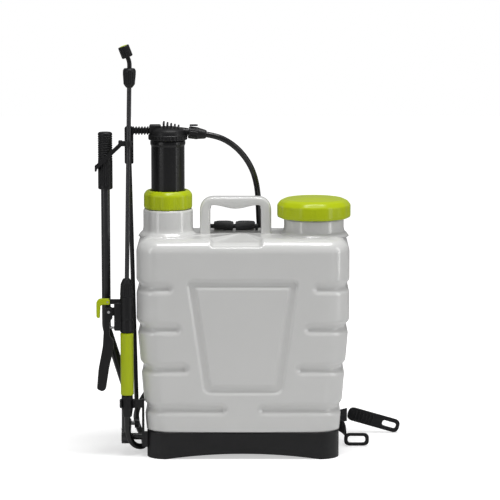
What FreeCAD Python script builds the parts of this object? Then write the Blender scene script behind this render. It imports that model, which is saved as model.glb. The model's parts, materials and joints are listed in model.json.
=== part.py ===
import FreeCAD, Part
import math
import os
import re

import Sketcher
from FreeCAD import Placement, Rotation, Vector

# Backpack sprayer. Millimetres, +Z up, origin at the middle of the base's footprint
# on the floor, +X to the right seen from the front panel (the lever is on the -X side and the
# filler cap on the +X side), +Y towards the wearer's back.

SIZES = {
    # tank, base and carry handle
    "tank_width": 380.0, "tank_foot_width": 346.0, "tank_depth": 180.0, "tank_corner": 40.0,
    "tank_top": 396.0, "tank_wide_height": 250.0, "tank_wall": 3.0, "shoulder_radius": 26.0,
    "groove_radius": 7.0, "groove_first": 90.0, "groove_pitch": 73.0,
    "panel_top": 324.0, "panel_bottom": 118.0, "panel_top_half": 100.0, "panel_foot_half": 70.0,
    "moat_width": 15.0, "moat_depth": 4.0,
    "handle_middle": -13.5, "handle_width": 129.0, "handle_top": 463.0, "handle_depth": 28.0,
    "handle_bar": 18.0, "window_foot": 399.0,
    "base_height": 49.0, "base_width": 344.0, "base_depth": 180.0, "base_corner": 35.0,
    "base_wall": 3.0, "arch_height": 10.0, "arch_half": 138.0, "rib_thick": 6.0, "rib_reach": 22.0,
    # pump neck, cylinder and chamber
    "pump_x": -134.5, "neck_radius": 44.5, "neck_top": 441.0, "spout_radius": 39.0,
    "spout_height": 19.0, "spout_bore": 36.0, "nut_radius": 43.5, "nut_height": 33.2,
    "cylinder_bore": 33.5, "cylinder_wall": 2.0, "cylinder_foot": 106.0, "flange_thick": 3.0,
    "chamber_radius": 30.0, "chamber_wall": 2.5, "chamber_foot": 165.0, "chamber_top": 565.0,
    "piston_height": 12.0, "seal_height": 6.0, "seal_gap": 0.1, "ball_radius": 5.5,
    "lid_radius": 35.0, "lid_flange": 9.0, "dome_radius": 33.0, "dome_rise": 14.0,
    "fin_count": 5.0, "fin_pitch": 6.6, "fin_thick": 3.0, "fin_rise": 23.0, "fin_length": 40.0,
    "hose_nut_radius": 11.0, "hose_nut_length": 31.0, "hose_nut_height": 578.0, "outlet_radius": 7.5,
    "arm_height": 581.0, "arm_thick": 14.0, "arm_depth": 16.0,
    # pull rod, lever and drive shaft
    "rod_top_x": -204.0, "rod_foot_x": -192.5, "rod_radius": 4.0, "rod_top": 522.0,
    "socket_radius": 8.0, "socket_top": 589.0, "eye_thick": 8.0, "eye_radius": 9.0,
    "shaft_height": 30.0, "shaft_radius": 6.0, "shaft_inner_x": -84.0, "bush_radius": 9.0,
    "running_gap": 0.1, "crank_radius": 36.0, "crank_rest": 30.0, "pin_radius": 4.0,
    "pin_gap": 0.6, "lug_thick": 8.0, "hub_radius": 13.0,
    "lever_foot_x": -211.0, "lever_top_x": -245.0, "lever_radius": 8.0, "bend_low": 122.0,
    "bend_high": 231.0, "grip_foot": 480.0, "grip_top": 582.0, "grip_radius": 13.0,
    # filler cap and strainer
    "cap_x": 127.3, "filler_radius": 53.75, "filler_top": 425.0, "cap_radius": 66.0,
    "cap_height": 36.0, "cap_wall": 3.0, "basket_radius": 46.0, "basket_depth": 90.0,
    "basket_wall": 1.6, "gasket_thick": 2.5,
    # gun, lance and nozzle
    "gun_x": -207.0, "gun_y": -66.0, "gun_radius": 12.0, "gun_foot": 226.0, "gun_top": 291.0,
    "handle_tube_radius": 8.2, "handle_bore": 6.0, "gun_grip_radius": 11.8, "gun_grip_foot": 113.0,
    "tail_foot": 73.0, "tail_radius": 10.0, "lance_nut_top": 324.0, "lance_radius": 4.0,
    "lance_top": 664.0, "lance_tilt": 1.05, "top_nut_height": 34.0, "nozzle_tilt": 21.0,
    "nozzle_radius": 10.0, "nozzle_height": 21.0, "hinge_x": -239.0, "hinge_z": 264.0,
    "hinge_pin": 2.5, "lock_x": -241.0, "lock_z": 282.0, "trigger_width": 15.0,
    "stem_z": 235.0, "stem_radius": 2.2, "ear_half": 3.5, "valve_gap": 9.5, "tip_radius": 6.8,
    # harness and hose
    "strap_width": 36.0, "pad_thick": 8.0, "web_width": 25.0, "web_thick": 2.0,
    "left_strap_x": -35.5, "right_strap_x": 4.0, "pad_y": 107.5, "pad_foot": 150.0,
    "bar_y": 34.0, "bar_z": 404.0, "bar_radius": 4.0, "roll_wall": 3.0,
    "hose_radius": 5.3,
    # general clearances
    "fit_gap": 0.3, "snug_gap": 0.02,
}

doc = FreeCAD.newDocument("backpack_sprayer")
sheet = doc.addObject("Spreadsheet::Sheet", "Sizes")
nodes = []


def fill_sheet():
    """Write each driving size as plain text with its name as the cell's alias."""
    for row, (name, size) in enumerate(SIZES.items(), start=1):
        sheet.set("A%d" % row, name)
        sheet.set("B%d" % row, str(size))
        sheet.setAlias("B%d" % row, name)
    doc.recompute()


def linked(text):
    """Turn plain size names in a formula into references to the sheet."""
    def name_or_cell(match):
        word = match.group(0)
        return "Sizes." + word if word in SIZES else word
    return re.sub(r"[a-z_][a-z_0-9]*", name_or_cell, text)


def mm(text):
    """The present value of a formula of size names."""
    return float(sheet.evalExpression(linked(text)))


def bind(target, path, text):
    """Drive one property by a formula of size names."""
    target.setExpression(path, linked(str(text)))


def place(target, x="0", y="0", z="0", turn=None):
    """Give an object its placement, with its position bound to the sheet."""
    if turn is not None:
        axis, angle = turn
        target.Placement = Placement(Vector(0, 0, 0), Rotation(axis, angle))
    for letter, text in zip("xyz", (x, y, z)):
        bind(target, "Placement.Base." + letter, text)
    return target


def keep(target, label):
    """Name a finished sub-part and list it for the export."""
    target.Label = label
    nodes.append(target)
    return target


# ---------------------------------------------------------------- PartDesign helpers

def new_sketch(body, plane, name):
    """A sketch on one of the body's own origin planes."""
    sketch = body.newObject("Sketcher::SketchObject", name)
    support = [part for part in body.Origin.OriginFeatures if part.Role == plane][0]
    sketch.AttachmentSupport = [(support, "")]
    sketch.MapMode = "FlatFace"
    return sketch


def pin_point(sketch, geometry, corner, across, up):
    """Hold one point of a sketch at a pair of formulas."""
    for kind, axis, text in (("DistanceX", -2, across), ("DistanceY", -1, up)):
        if text == "0":
            sketch.addConstraint(Sketcher.Constraint("PointOnObject", geometry, corner, axis))
            continue
        number = sketch.addConstraint(
            Sketcher.Constraint(kind, -1, 1, geometry, corner, mm(text)))
        bind(sketch, "Constraints[%d]" % number, text)


def draw_outline(sketch, points):
    """A closed outline of straight lines through pairs of formulas."""
    spots = [Vector(mm(across), mm(up), 0) for across, up in points]
    first = sketch.GeometryCount
    for start, end in zip(spots, spots[1:] + spots[:1]):
        sketch.addGeometry(Part.LineSegment(start, end), False)
    count = len(points)
    for step in range(count):
        after = first + (step + 1) % count
        sketch.addConstraint(Sketcher.Constraint("Coincident", first + step, 2, after, 1))
    for step, (across, up) in enumerate(points):
        pin_point(sketch, first + step, 1, across, up)


def draw_circle(sketch, across, up, radius):
    """A circle held by three formulas."""
    circle = Part.Circle(Vector(mm(across), mm(up), 0), Vector(0, 0, 1), mm(radius))
    number = sketch.addGeometry(circle, False)
    pin_point(sketch, number, 3, across, up)
    size = sketch.addConstraint(Sketcher.Constraint("Radius", number, mm(radius)))
    bind(sketch, "Constraints[%d]" % size, radius)


def turned(label, outline, x="0", y="0", z="0", turn=None):
    """A body turned about its own Z axis from an outline of (radius, height)."""
    body = doc.addObject("PartDesign::Body", label)
    sketch = new_sketch(body, "XZ_Plane", label + "_outline")
    draw_outline(sketch, outline)
    spin = body.newObject("PartDesign::Revolution", label + "_turned")
    spin.Profile = sketch
    spin.ReferenceAxis = (sketch, ["V_Axis"])
    spin.Angle = 360
    sketch.Visibility = False
    place(body, x, y, z, turn)
    return keep(body, label)


def padded(label, plane, outline, length, circles=(), x="0", y="0", z="0", turn=None):
    """A body padded both ways from its plane, with round holes drawn in its outline."""
    body = doc.addObject("PartDesign::Body", label)
    sketch = new_sketch(body, plane, label + "_outline")
    draw_outline(sketch, outline)
    for circle in circles:
        draw_circle(sketch, *circle)
    pad = body.newObject("PartDesign::Pad", label + "_padded")
    pad.Profile = sketch
    pad.Midplane = True
    bind(pad, "Length", length)
    place(body, x, y, z, turn)
    return keep(body, label)


def pocketed(body, plane, outline, length, name, circles=()):
    """Cut a pocket both ways from one of the body's planes."""
    before = body.Shape.Volume
    sketch = new_sketch(body, plane, name + "_outline")
    if outline:
        draw_outline(sketch, outline)
    for circle in circles:
        draw_circle(sketch, *circle)
    pocket = body.newObject("PartDesign::Pocket", name)
    pocket.Profile = sketch
    pocket.Midplane = True
    bind(pocket, "Length", length)
    body.Tip = pocket
    doc.recompute()
    if not body.Shape.Volume < before:
        raise RuntimeError(name + " cuts nothing")
    return pocket


# ---------------------------------------------------------------- Part helpers

def box(name, length, width, height, x="0", y="0", z="0"):
    """A box bound to the sheet, by its lowest corner."""
    solid = doc.addObject("Part::Box", name)
    for path, text in (("Length", length), ("Width", width), ("Height", height)):
        bind(solid, path, text)
    return place(solid, x, y, z)


def cylinder(name, radius, height, x="0", y="0", z="0", turn=None):
    """A cylinder bound to the sheet, by the middle of its foot."""
    solid = doc.addObject("Part::Cylinder", name)
    bind(solid, "Radius", radius)
    bind(solid, "Height", height)
    return place(solid, x, y, z, turn)


def joined(name, pieces):
    """One solid out of several."""
    solid = doc.addObject("Part::MultiFuse", name)
    solid.Shapes = pieces
    solid.Refine = True
    return solid


def carved(name, whole, tools):
    """A solid with the tools taken out of it."""
    solid = doc.addObject("Part::Cut", name)
    solid.Base = whole
    solid.Tool = tools[0] if len(tools) == 1 else joined(name + "_tools", tools)
    return solid


def grouped(name, pieces):
    """Several separate solids kept as one sub-part."""
    solid = doc.addObject("Part::Compound", name)
    solid.Links = pieces
    return solid


def shaped(label, shape, x=0.0, y=0.0, z=0.0):
    """A sub-part whose shape is worked out here from the sheet's sizes."""
    solid = doc.addObject("Part::Feature", label)
    solid.Shape = shape
    solid.Placement = Placement(Vector(x, y, z), Rotation())
    return keep(solid, label)


X_AXIS = (Vector(0, 1, 0), 90)
Y_AXIS = (Vector(1, 0, 0), -90)


# ---------------------------------------------------------------- tank

def rounded_plan(width, depth, corner, height):
    """A rounded rectangle at a height, as a wire centred on Z."""
    half_x, half_y = width / 2.0, depth / 2.0
    across, along = half_x - corner, half_y - corner
    edges = []
    quarter = ((1, 1, 0), (-1, 1, 90), (-1, -1, 180), (1, -1, 270))
    ends = []
    for sign_x, sign_y, start in quarter:
        centre = Vector(sign_x * across, sign_y * along, height)
        arc = Part.Circle(centre, Vector(0, 0, 1), corner)
        edges.append(Part.ArcOfCircle(arc, math.radians(start), math.radians(start + 90)))
        ends.append((edges[-1].StartPoint, edges[-1].EndPoint))
    wire = []
    for step in range(4):
        wire.append(edges[step].toShape())
        wire.append(Part.LineSegment(ends[step][1], ends[(step + 1) % 4][0]).toShape())
    return Part.Wire(wire)


def width_at(height, inset):
    """The tank's width at a height, less an inset on both sides."""
    wide, narrow = mm("tank_width"), mm("tank_foot_width")
    foot, waist = mm("base_height"), mm("tank_wide_height")
    share = min(1.0, (height - foot) / (waist - foot))
    return narrow + (wide - narrow) * share - 2.0 * inset


def tank_block(inset):
    """The tank's closed outer form, or the same form inset by a wall."""
    low, high = mm("base_height") + inset, mm("tank_top") - inset
    depth, corner = mm("tank_depth") - 2 * inset, mm("tank_corner") - inset
    heights = (low, mm("tank_wide_height"), high)
    plans = [rounded_plan(width_at(level, inset), depth, corner, level) for level in heights]
    block = Part.makeLoft(plans, True, True)
    rim = [edge for edge in block.Edges if edge.BoundBox.ZMin > high - 0.01]
    return block.makeFillet(mm("shoulder_radius") - inset, rim)


def groove_path(level, end_half, side):
    """A groove's run round one side, from the front to the back, on the tank's face."""
    width, depth, corner = width_at(level, 0), mm("tank_depth"), mm("tank_corner")
    half_x, half_y = side * width / 2.0, depth / 2.0
    bend_x = half_x - side * corner
    diagonal = corner * (1.0 - math.sqrt(0.5))
    edges = [Part.LineSegment(Vector(side * end_half, -half_y, level), Vector(bend_x, -half_y, level))]
    edges.append(Part.Arc(
        Vector(bend_x, -half_y, level),
        Vector(half_x - side * diagonal, -half_y + diagonal, level),
        Vector(half_x, -half_y + corner, level)))
    edges.append(Part.LineSegment(
        Vector(half_x, -half_y + corner, level), Vector(half_x, half_y - corner, level)))
    edges.append(Part.Arc(
        Vector(half_x, half_y - corner, level),
        Vector(half_x - side * diagonal, half_y - diagonal, level),
        Vector(bend_x, half_y, level)))
    edges.append(Part.LineSegment(Vector(bend_x, half_y, level), Vector(side * end_half, half_y, level)))
    return Part.Wire([edge.toShape() for edge in edges])


def grooves(radius):
    """The round-bottomed grooves of both sides, as solids to cut away."""
    end_halves = (29.0, 97.0, 111.0, 125.0)
    solids = []
    for number, end_half in enumerate(end_halves):
        level = mm("groove_first") + number * mm("groove_pitch")
        for side in (-1, 1):
            path = groove_path(level, end_half, side)
            start = path.Vertexes[0].Point
            ring = Part.Wire(Part.Circle(start, Vector(1, 0, 0), radius).toShape())
            solids.append(path.makePipeShell([ring], True, False))
            for end in (path.Vertexes[0].Point, path.Vertexes[-1].Point):
                solids.append(Part.makeSphere(radius, end))
    return solids


def trapezoid(margin, depth):
    """The front panel's outline shrunk by a margin, as a block on the front face."""
    top, foot = mm("panel_top") - margin, mm("panel_bottom") + margin
    top_half = mm("panel_top_half") - margin
    foot_half = mm("panel_foot_half") - margin
    front = -mm("tank_depth") / 2.0
    corners = [Vector(-foot_half, front, foot), Vector(foot_half, front, foot),
               Vector(top_half, front, top), Vector(-top_half, front, top)]
    face = Part.Face(Part.makePolygon(corners + corners[:1]))
    block = face.extrude(Vector(0, depth, 0))
    uprights = [edge for edge in block.Edges
                if abs(edge.Vertexes[0].Y - edge.Vertexes[-1].Y) > depth / 2.0]
    return block.makeFillet(10.0, uprights)


def moat(grow):
    """The sunk border of the front panel, grown by a wall where it is kept as a lining."""
    depth = mm("moat_depth") + grow
    ring = trapezoid(-grow, depth)
    island = trapezoid(mm("moat_width") + grow, depth + 1.0)
    return ring.cut(island) if grow == 0 else ring


def neck(x, radius, bore, top):
    """One neck's outside and its bore, from inside the tank to its rim."""
    low = mm("tank_top - shoulder_radius")
    outside = Part.makeCylinder(radius, top - low, Vector(x, 0, low))
    hole = Part.makeCylinder(bore, top - low + 60.0, Vector(x, 0, low - 30.0))
    return outside, hole


def carry_handle():
    """The handle loop on top of the tank with its hand window."""
    width, depth, bar = mm("handle_width"), mm("handle_depth"), mm("handle_bar")
    left = mm("handle_middle") - width / 2.0
    low, top = mm("tank_top") - 12.0, mm("handle_top")
    loop = Part.makeBox(width, depth, top - low, Vector(left, -depth / 2.0, low))
    corners = [edge for edge in loop.Edges
               if edge.BoundBox.ZMin > top - 0.01 and edge.BoundBox.YLength > depth / 2.0]
    loop = loop.makeFillet(20.0, corners)
    foot = mm("window_foot")
    window = Part.makeBox(width - 2 * bar - 4.0, depth + 2.0, top - bar - foot,
                          Vector(left + bar + 2.0, -depth / 2.0 - 1.0, foot))
    uprights = [edge for edge in window.Edges if edge.BoundBox.YLength > depth / 2.0]
    window = window.makeFillet(8.0, uprights)
    loop = loop.cut(window)
    long_edges = [edge for edge in loop.Edges
                  if edge.BoundBox.YLength < 0.01 and edge.BoundBox.ZMin > foot - 40.0
                  and edge.BoundBox.ZMax > low + 1.0]
    return loop.makeFillet(5.0, long_edges)


def make_tank():
    """The blow-moulded tank: hollow, with two necks, a handle, grooves and a front panel."""
    wall = mm("tank_wall")
    outside = tank_block(0.0).cut(grooves(mm("groove_radius"))).cut(moat(0.0))
    pump_x, filler_x = mm("pump_x"), mm("cap_x")
    pump_neck, pump_bore = neck(pump_x, mm("neck_radius"), mm("spout_bore"), mm("neck_top"))
    spout = Part.makeCylinder(mm("spout_radius"), mm("spout_height"),
                              Vector(pump_x, 0, mm("neck_top")))
    filler_bore_radius = mm("filler_radius") - wall
    filler_neck, filler_bore = neck(filler_x, mm("filler_radius"), filler_bore_radius,
                                    mm("filler_top"))
    inside = tank_block(wall).cut(grooves(mm("groove_radius") + wall)).cut(moat(wall))
    body = outside.fuse([pump_neck, spout, filler_neck])
    body = body.cut([inside, pump_bore.cut(inside), filler_bore.cut(inside)])
    body = body.fuse(carry_handle()).removeSplitter()
    pocket = Part.makeCylinder(9.0, mm("handle_width") - 34.0,
                               Vector(mm("handle_middle") - mm("handle_width") / 2.0 + 17.0,
                                      -mm("tank_depth") / 2.0 + 2.0, mm("tank_top") - 4.0),
                               Vector(1, 0, 0))
    shaped("tank", body.cut(pocket).Solids[0])


# ---------------------------------------------------------------- base

def make_base():
    """The black skirt under the tank: a shell with a rib cross and a shaft bearing post."""
    width, depth, corner = mm("base_width"), mm("base_depth"), mm("base_corner")
    height, wall = mm("base_height"), mm("base_wall")
    outer = Part.Face(rounded_plan(width, depth, corner, 0.0)).extrude(Vector(0, 0, height))
    rim = [edge for edge in outer.Edges if edge.BoundBox.ZMin > height - 0.01]
    outer = outer.makeFillet(2.5, rim)
    inner = Part.Face(rounded_plan(width - 2 * wall, depth - 2 * wall, corner - wall, 0.0))
    hollow = inner.extrude(Vector(0, 0, height - wall))
    shell = outer.cut(hollow)
    rise, half = mm("arch_height"), mm("arch_half")
    curve = Part.Arc(Vector(-half, -depth, 0), Vector(0, -depth, rise), Vector(half, -depth, 0))
    chord = Part.LineSegment(Vector(half, -depth, 0), Vector(-half, -depth, 0))
    arch = Part.Face(Part.Wire([curve.toShape(), chord.toShape()]))
    shell = shell.cut(arch.extrude(Vector(0, 2 * depth, 0)))
    rib = mm("rib_thick")
    reach = mm("rib_reach")
    ribs = [Part.makeBox(rib, 2 * reach, height - wall, Vector(-rib / 2.0, -reach, 0)),
            Part.makeBox(2 * reach, rib, height - wall, Vector(-reach, -rib / 2.0, 0))]
    post_x, shaft_y, shaft_z = mm("shaft_inner_x"), shaft_depth(), mm("shaft_height")
    post = Part.makeBox(14.0, 34.0, height - wall - 6.0, Vector(post_x, shaft_y - 17.0, 6.0))
    shell = shell.fuse(ribs + [post])
    pad_radius = mm("bush_radius") + 4.0
    boss = Part.makeCylinder(pad_radius, 14.0, Vector(-width / 2.0 + wall / 2.0, shaft_y, shaft_z),
                             Vector(1, 0, 0))
    through = post_x + 16.0 + width / 2.0
    hole = Part.makeCylinder(mm("bush_radius + snug_gap"), through,
                             Vector(-width / 2.0 - 2.0, shaft_y, shaft_z), Vector(1, 0, 0))
    shell = shell.fuse(boss).cut(hole)
    for x, y in screw_spots():
        pillar = Part.makeCylinder(7.0, height - wall - 8.0, Vector(x, y, 8.0))
        shell = shell.fuse(pillar).cut(Part.makeCylinder(2.5, 30.0, Vector(x, y, 8.0)))
    shaped("base", shell.removeSplitter())


def screw_spots():
    """Where the four screws go up into the tank's foot."""
    across, along = mm("base_width") / 2.0 - 42.0, mm("base_depth") / 2.0 - 26.0
    return [(sign_x * across, sign_y * along) for sign_x in (-1, 1) for sign_y in (-1, 1)]


def make_base_screws():
    """Four pan-head screws under the base, as one group."""
    screws = []
    for number, (x, y) in enumerate(screw_spots()):
        outline = [("0", "0"), ("5", "0"), ("5", "3"), ("2.4", "3"), ("2.4", "28"), ("0", "30")]
        body = turned("base_screw_%d" % number, outline)
        nodes.pop()
        place(body, repr(x), repr(y), "5")
        screws.append(body)
    keep(grouped("screws", screws), "base_screws")


# ---------------------------------------------------------------- lever and shaft

def shaft_depth():
    """The shaft's Y, which keeps the crank pin centred under the rod over its swing."""
    half_swing = math.cos(math.radians(mm("crank_rest")))
    return -mm("crank_radius") * (1.0 + half_swing) / 2.0


def crank_pin_spot():
    """The crank pin's Y and Z at rest."""
    angle = math.radians(mm("crank_rest"))
    reach = mm("crank_radius")
    return shaft_depth() + reach * math.cos(angle), mm("shaft_height") + reach * math.sin(angle)


SHAFT_Y = "-crank_radius * (1 + cos(crank_rest * 1deg)) / 2"
PIN_Y = "crank_radius * (cos(crank_rest * 1deg) - 1) / 2"
PIN_Z = "shaft_height + crank_radius * sin(crank_rest * 1deg)"
HUB_LEFT = "lever_foot_x - lever_radius"
HUB_RIGHT = "lever_foot_x + lever_radius"


def make_drive_shaft():
    """The shaft that carries the lever across the base, with its two bushes."""
    shaft = cylinder("shaft", "shaft_radius", "shaft_inner_x + 14 - (%s)" % HUB_LEFT,
                     HUB_LEFT, SHAFT_Y, "shaft_height", X_AXIS)
    keep(shaft, "drive_shaft")
    bushes = []
    spots = (("outer", "-base_width / 2 + 0.5"), ("inner", "shaft_inner_x"))
    for name, x in spots:
        outside = cylinder(name + "_bush_outside", "bush_radius", "13", x, SHAFT_Y,
                           "shaft_height", X_AXIS)
        bore = cylinder(name + "_bush_bore", "shaft_radius + running_gap", "15",
                        "%s - 1" % x, SHAFT_Y, "shaft_height", X_AXIS)
        bushes.append(carved(name + "_bush", outside, [bore]))
    keep(grouped("bushes", bushes), "shaft_bushes")


def make_lever_crank():
    """The forged hub on the shaft with the crank lug and the tube's seat."""
    width = "2 * lever_radius"
    hub = cylinder("hub", "hub_radius", width, HUB_LEFT, SHAFT_Y, "shaft_height", X_AXIS)
    seat = box("seat", width, width, "hub_radius + 3", HUB_LEFT, SHAFT_Y + " - lever_radius",
               "shaft_height")
    lug_x = "%s - lug_thick" % HUB_RIGHT
    arm = box("lug_arm", "lug_thick", "crank_radius", "16", lug_x, SHAFT_Y, "shaft_height")
    slope = mm("crank_rest")
    place(arm, lug_x, SHAFT_Y + " + 8 * sin(crank_rest * 1deg)",
          "shaft_height - 8 * cos(crank_rest * 1deg)", (Vector(1, 0, 0), slope))
    end = cylinder("lug_end", "8", "lug_thick", lug_x, PIN_Y, PIN_Z, X_AXIS)
    whole = joined("crank_whole", [hub, seat, arm, end])
    bore = cylinder("hub_bore", "shaft_radius + snug_gap", "2 * lever_radius + 2",
                    HUB_LEFT + " - 1", SHAFT_Y, "shaft_height", X_AXIS)
    pin_hole = cylinder("pin_hole", "pin_radius + snug_gap", "lug_thick + 2", lug_x + " - 1",
                        PIN_Y, PIN_Z, X_AXIS)
    keep(carved("crank", whole, [bore, pin_hole]), "lever_crank")
    pin = cylinder("pin", "pin_radius", "lug_thick + rod_foot_x + eye_thick / 2 + 1.5 - (%s)"
                   % HUB_RIGHT, lug_x, PIN_Y, PIN_Z, X_AXIS)
    keep(pin, "crank_pin")


def tube_path(points, radii):
    """A wire of straight runs joined by tangent arcs of the given radii."""
    edges = []
    start = points[0]
    for before, corner, after, radius in zip(points, points[1:], points[2:], radii):
        come = (corner - before).normalize()
        go = (after - corner).normalize()
        turn = come.getAngle(go)
        reach = radius * math.tan(turn / 2.0)
        enter, leave = corner - come * reach, corner + go * reach
        inward = (go - come).normalize()
        middle = corner + inward * (radius / math.cos(turn / 2.0) - radius)
        edges.append(Part.LineSegment(start, enter).toShape())
        edges.append(Part.Arc(enter, middle, leave).toShape())
        start = leave
    edges.append(Part.LineSegment(start, points[-1]).toShape())
    return Part.Wire(edges)


def tube_along(path, radius, bore=0.0):
    """A round tube or rod swept along a wire."""
    start = path.Edges[0].firstVertex().Point
    aim = path.Edges[0].tangentAt(path.Edges[0].FirstParameter)
    ring = Part.Wire(Part.Circle(start, aim, radius).toShape())
    solid = path.makePipeShell([ring], True, False)
    if bore <= 0:
        return solid
    hole = Part.Wire(Part.Circle(start, aim, bore).toShape())
    return solid.cut(path.makePipeShell([hole], True, False))


def make_lever():
    """The bent lever tube and its grip."""
    foot_x, top_x, y = mm("lever_foot_x"), mm("lever_top_x"), shaft_depth()
    foot_z = mm("shaft_height + hub_radius + 3")
    points = [Vector(foot_x, y, foot_z), Vector(foot_x, y, mm("bend_low")),
              Vector(top_x, y, mm("bend_high")), Vector(top_x, y, mm("grip_top") - 6.0)]
    radius = mm("lever_radius")
    path = tube_path(points, (45.0, 45.0))
    shaped("lever_tube", tube_along(path, radius, radius - 1.5))
    outline = [("lever_radius + snug_gap", "0"), ("grip_radius - 2", "0"), ("grip_radius", "2"),
               ("grip_radius", "grip_top - grip_foot - 2"),
               ("grip_radius - 2", "grip_top - grip_foot"), ("0", "grip_top - grip_foot"),
               ("0", "grip_top - grip_foot - 5"),
               ("lever_radius + snug_gap", "grip_top - grip_foot - 5")]
    turned("lever_grip", outline, "lever_top_x", SHAFT_Y, "grip_foot")


# ---------------------------------------------------------------- pump

def make_pump_cylinder():
    """The fixed pump cylinder hung in the neck, with its gland seal and intake valve."""
    rim = "neck_top + spout_height"
    tall = "neck_top + spout_height + flange_thick - cylinder_foot"
    outside = "cylinder_bore + cylinder_wall"
    outline = [("6.5", "0"), (outside, "0"), (outside, tall + " - flange_thick"),
               ("spout_radius - 0.5", tall + " - flange_thick"), ("spout_radius - 0.5", tall),
               ("cylinder_bore", tall), ("cylinder_bore", "3"), ("6.5", "3")]
    turned("pump_cylinder", outline, "pump_x", "0", "cylinder_foot")
    seal = [("chamber_radius + seal_gap", "0"), ("cylinder_bore - snug_gap", "0"),
            ("cylinder_bore - snug_gap", "7"), ("chamber_radius + seal_gap", "7")]
    turned("gland_seal", seal, "pump_x", "0", rim + " - 5")
    drop = "cylinder_foot - 18"
    valve = [("4", "0"), ("14", "0"), ("14", "18"), ("6.5", "18"), ("6.5", "4"), ("4", "4")]
    turned("intake_valve", valve, "pump_x", "0", drop)
    seat_rise = "sqrt(ball_radius * ball_radius - 16) + 0.2"
    ball = doc.addObject("Part::Sphere", "intake_sphere")
    bind(ball, "Radius", "ball_radius")
    place(ball, "pump_x", "0", "cylinder_foot - 14 + " + seat_rise)
    keep(ball, "intake_ball")
    strainer = [("0", "0"), ("13", "0"), ("13", "28"), ("11.8", "28"), ("11.8", "1.2"), ("0", "1.2")]
    turned("intake_strainer", strainer, "pump_x", "0", "cylinder_foot - 46")


def make_ring_nut():
    """The lime nut that holds the pump down on the neck, with grip ribs."""
    bore = "spout_radius + fit_gap"
    lip = "spout_height + flange_thick + fit_gap"
    hole = "chamber_radius + 1"
    outline = [(bore, "0"), ("nut_radius - 2", "0"), ("nut_radius", "2"),
               ("nut_radius", "nut_height - 6"), ("nut_radius - 6", "nut_height"),
               (hole, "nut_height"), (hole, lip), (bore, lip)]
    turned("ring_nut", outline, "pump_x", "0", "neck_top + fit_gap")


def make_chamber():
    """The moving pressure chamber with its piston, cup seal and outlet valve ball."""
    tall = "chamber_top - chamber_foot"
    outline = [("chamber_radius - chamber_wall", "0"), ("chamber_radius", "0"),
               ("chamber_radius", tall), ("chamber_radius - chamber_wall", tall)]
    turned("pressure_chamber", outline, "pump_x", "0", "chamber_foot")
    edge = "cylinder_bore - fit_gap"
    low = "(piston_height - seal_height) / 2"
    high = "(piston_height + seal_height) / 2"
    piston = [("4", "0"), (edge, "0"), (edge, low), ("chamber_radius", low),
              ("chamber_radius", high), (edge, high), (edge, "piston_height"),
              ("6.5", "piston_height"), ("6.5", "4"), ("4", "4")]
    turned("piston", piston, "pump_x", "0", "chamber_foot - piston_height")
    seal = [("chamber_radius + snug_gap", low), ("cylinder_bore - seal_gap", low),
            ("cylinder_bore - seal_gap", high), ("chamber_radius + snug_gap", high)]
    turned("piston_seal", seal, "pump_x", "0", "chamber_foot - piston_height")
    ball = doc.addObject("Part::Sphere", "outlet_sphere")
    bind(ball, "Radius", "ball_radius")
    place(ball, "pump_x", "0",
          "chamber_foot - piston_height + 4 + sqrt(ball_radius * ball_radius - 16) + 0.2")
    keep(ball, "outlet_ball")


def make_lid():
    """The chamber's domed lid with its comb of fins and the arm's clamp block."""
    base_outline = [("0", "0"), ("lid_radius", "0"), ("lid_radius", "lid_flange"),
                    ("dome_radius", "lid_flange"), ("dome_radius - 3", "lid_flange + dome_rise * 0.6"),
                    ("dome_radius - 12", "lid_flange + dome_rise"), ("0", "lid_flange + dome_rise")]
    dome = turned("lid_dome", base_outline, "pump_x", "0", "chamber_top")
    nodes.pop()
    pieces = [dome]
    for number in range(int(mm("fin_count"))):
        offset = "(%d - (fin_count - 1) / 2) * fin_pitch" % number
        fin = box("lid_fin_%d" % number, "fin_thick", "fin_length",
                  "fin_rise - %d * 1.6" % number,
                  "pump_x + 6 + %s - fin_thick / 2" % offset, "-fin_length / 2",
                  "chamber_top + lid_flange")
        pieces.append(fin)
    pieces.append(box("clamp_block", "19.2", "22", "18", "pump_x - lid_radius + 1.8", "-11",
                      "chamber_top + lid_flange"))
    boss = [("0", "-16"), ("outlet_radius", "-16"), ("outlet_radius", "-2"), ("0", "-2")]
    pieces.append(turned("lid_outlet", boss, "pump_x + dome_radius + 4", "0", "hose_nut_height",
                         (Vector(0, 1, 0), 97)))
    nodes.pop()
    keep(joined("lid", pieces), "chamber_lid")


def make_arm():
    """The ribbed arm from the lid to the rod's socket."""
    low, half = "arm_height - arm_thick / 2", "arm_depth / 2"
    right = "pump_x - lid_radius + 1.8"
    bar = box("arm_bar", "%s - rod_top_x - socket_radius + 1" % right, "arm_depth - 4",
              "arm_thick - 4", "rod_top_x + socket_radius - 1", "2 - arm_depth / 2", low + " + 2")
    pieces = [bar]
    for number in range(6):
        pieces.append(box("arm_rib_%d" % number, "2.6", "arm_depth", "arm_thick",
                          "%s - 4 - %d * 5.2" % (right, number), "-" + half, low))
    socket = cylinder("socket_outside", "socket_radius", "socket_top - rod_top", "rod_top_x", "0",
                      "rod_top")
    pieces.append(socket)
    hole = cylinder("socket_bore", "rod_radius + 1.5", "30", "rod_top_x", "0", "rod_top - 1")
    keep(carved("arm", joined("arm_whole", pieces), [hole]), "lid_arm")


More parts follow.
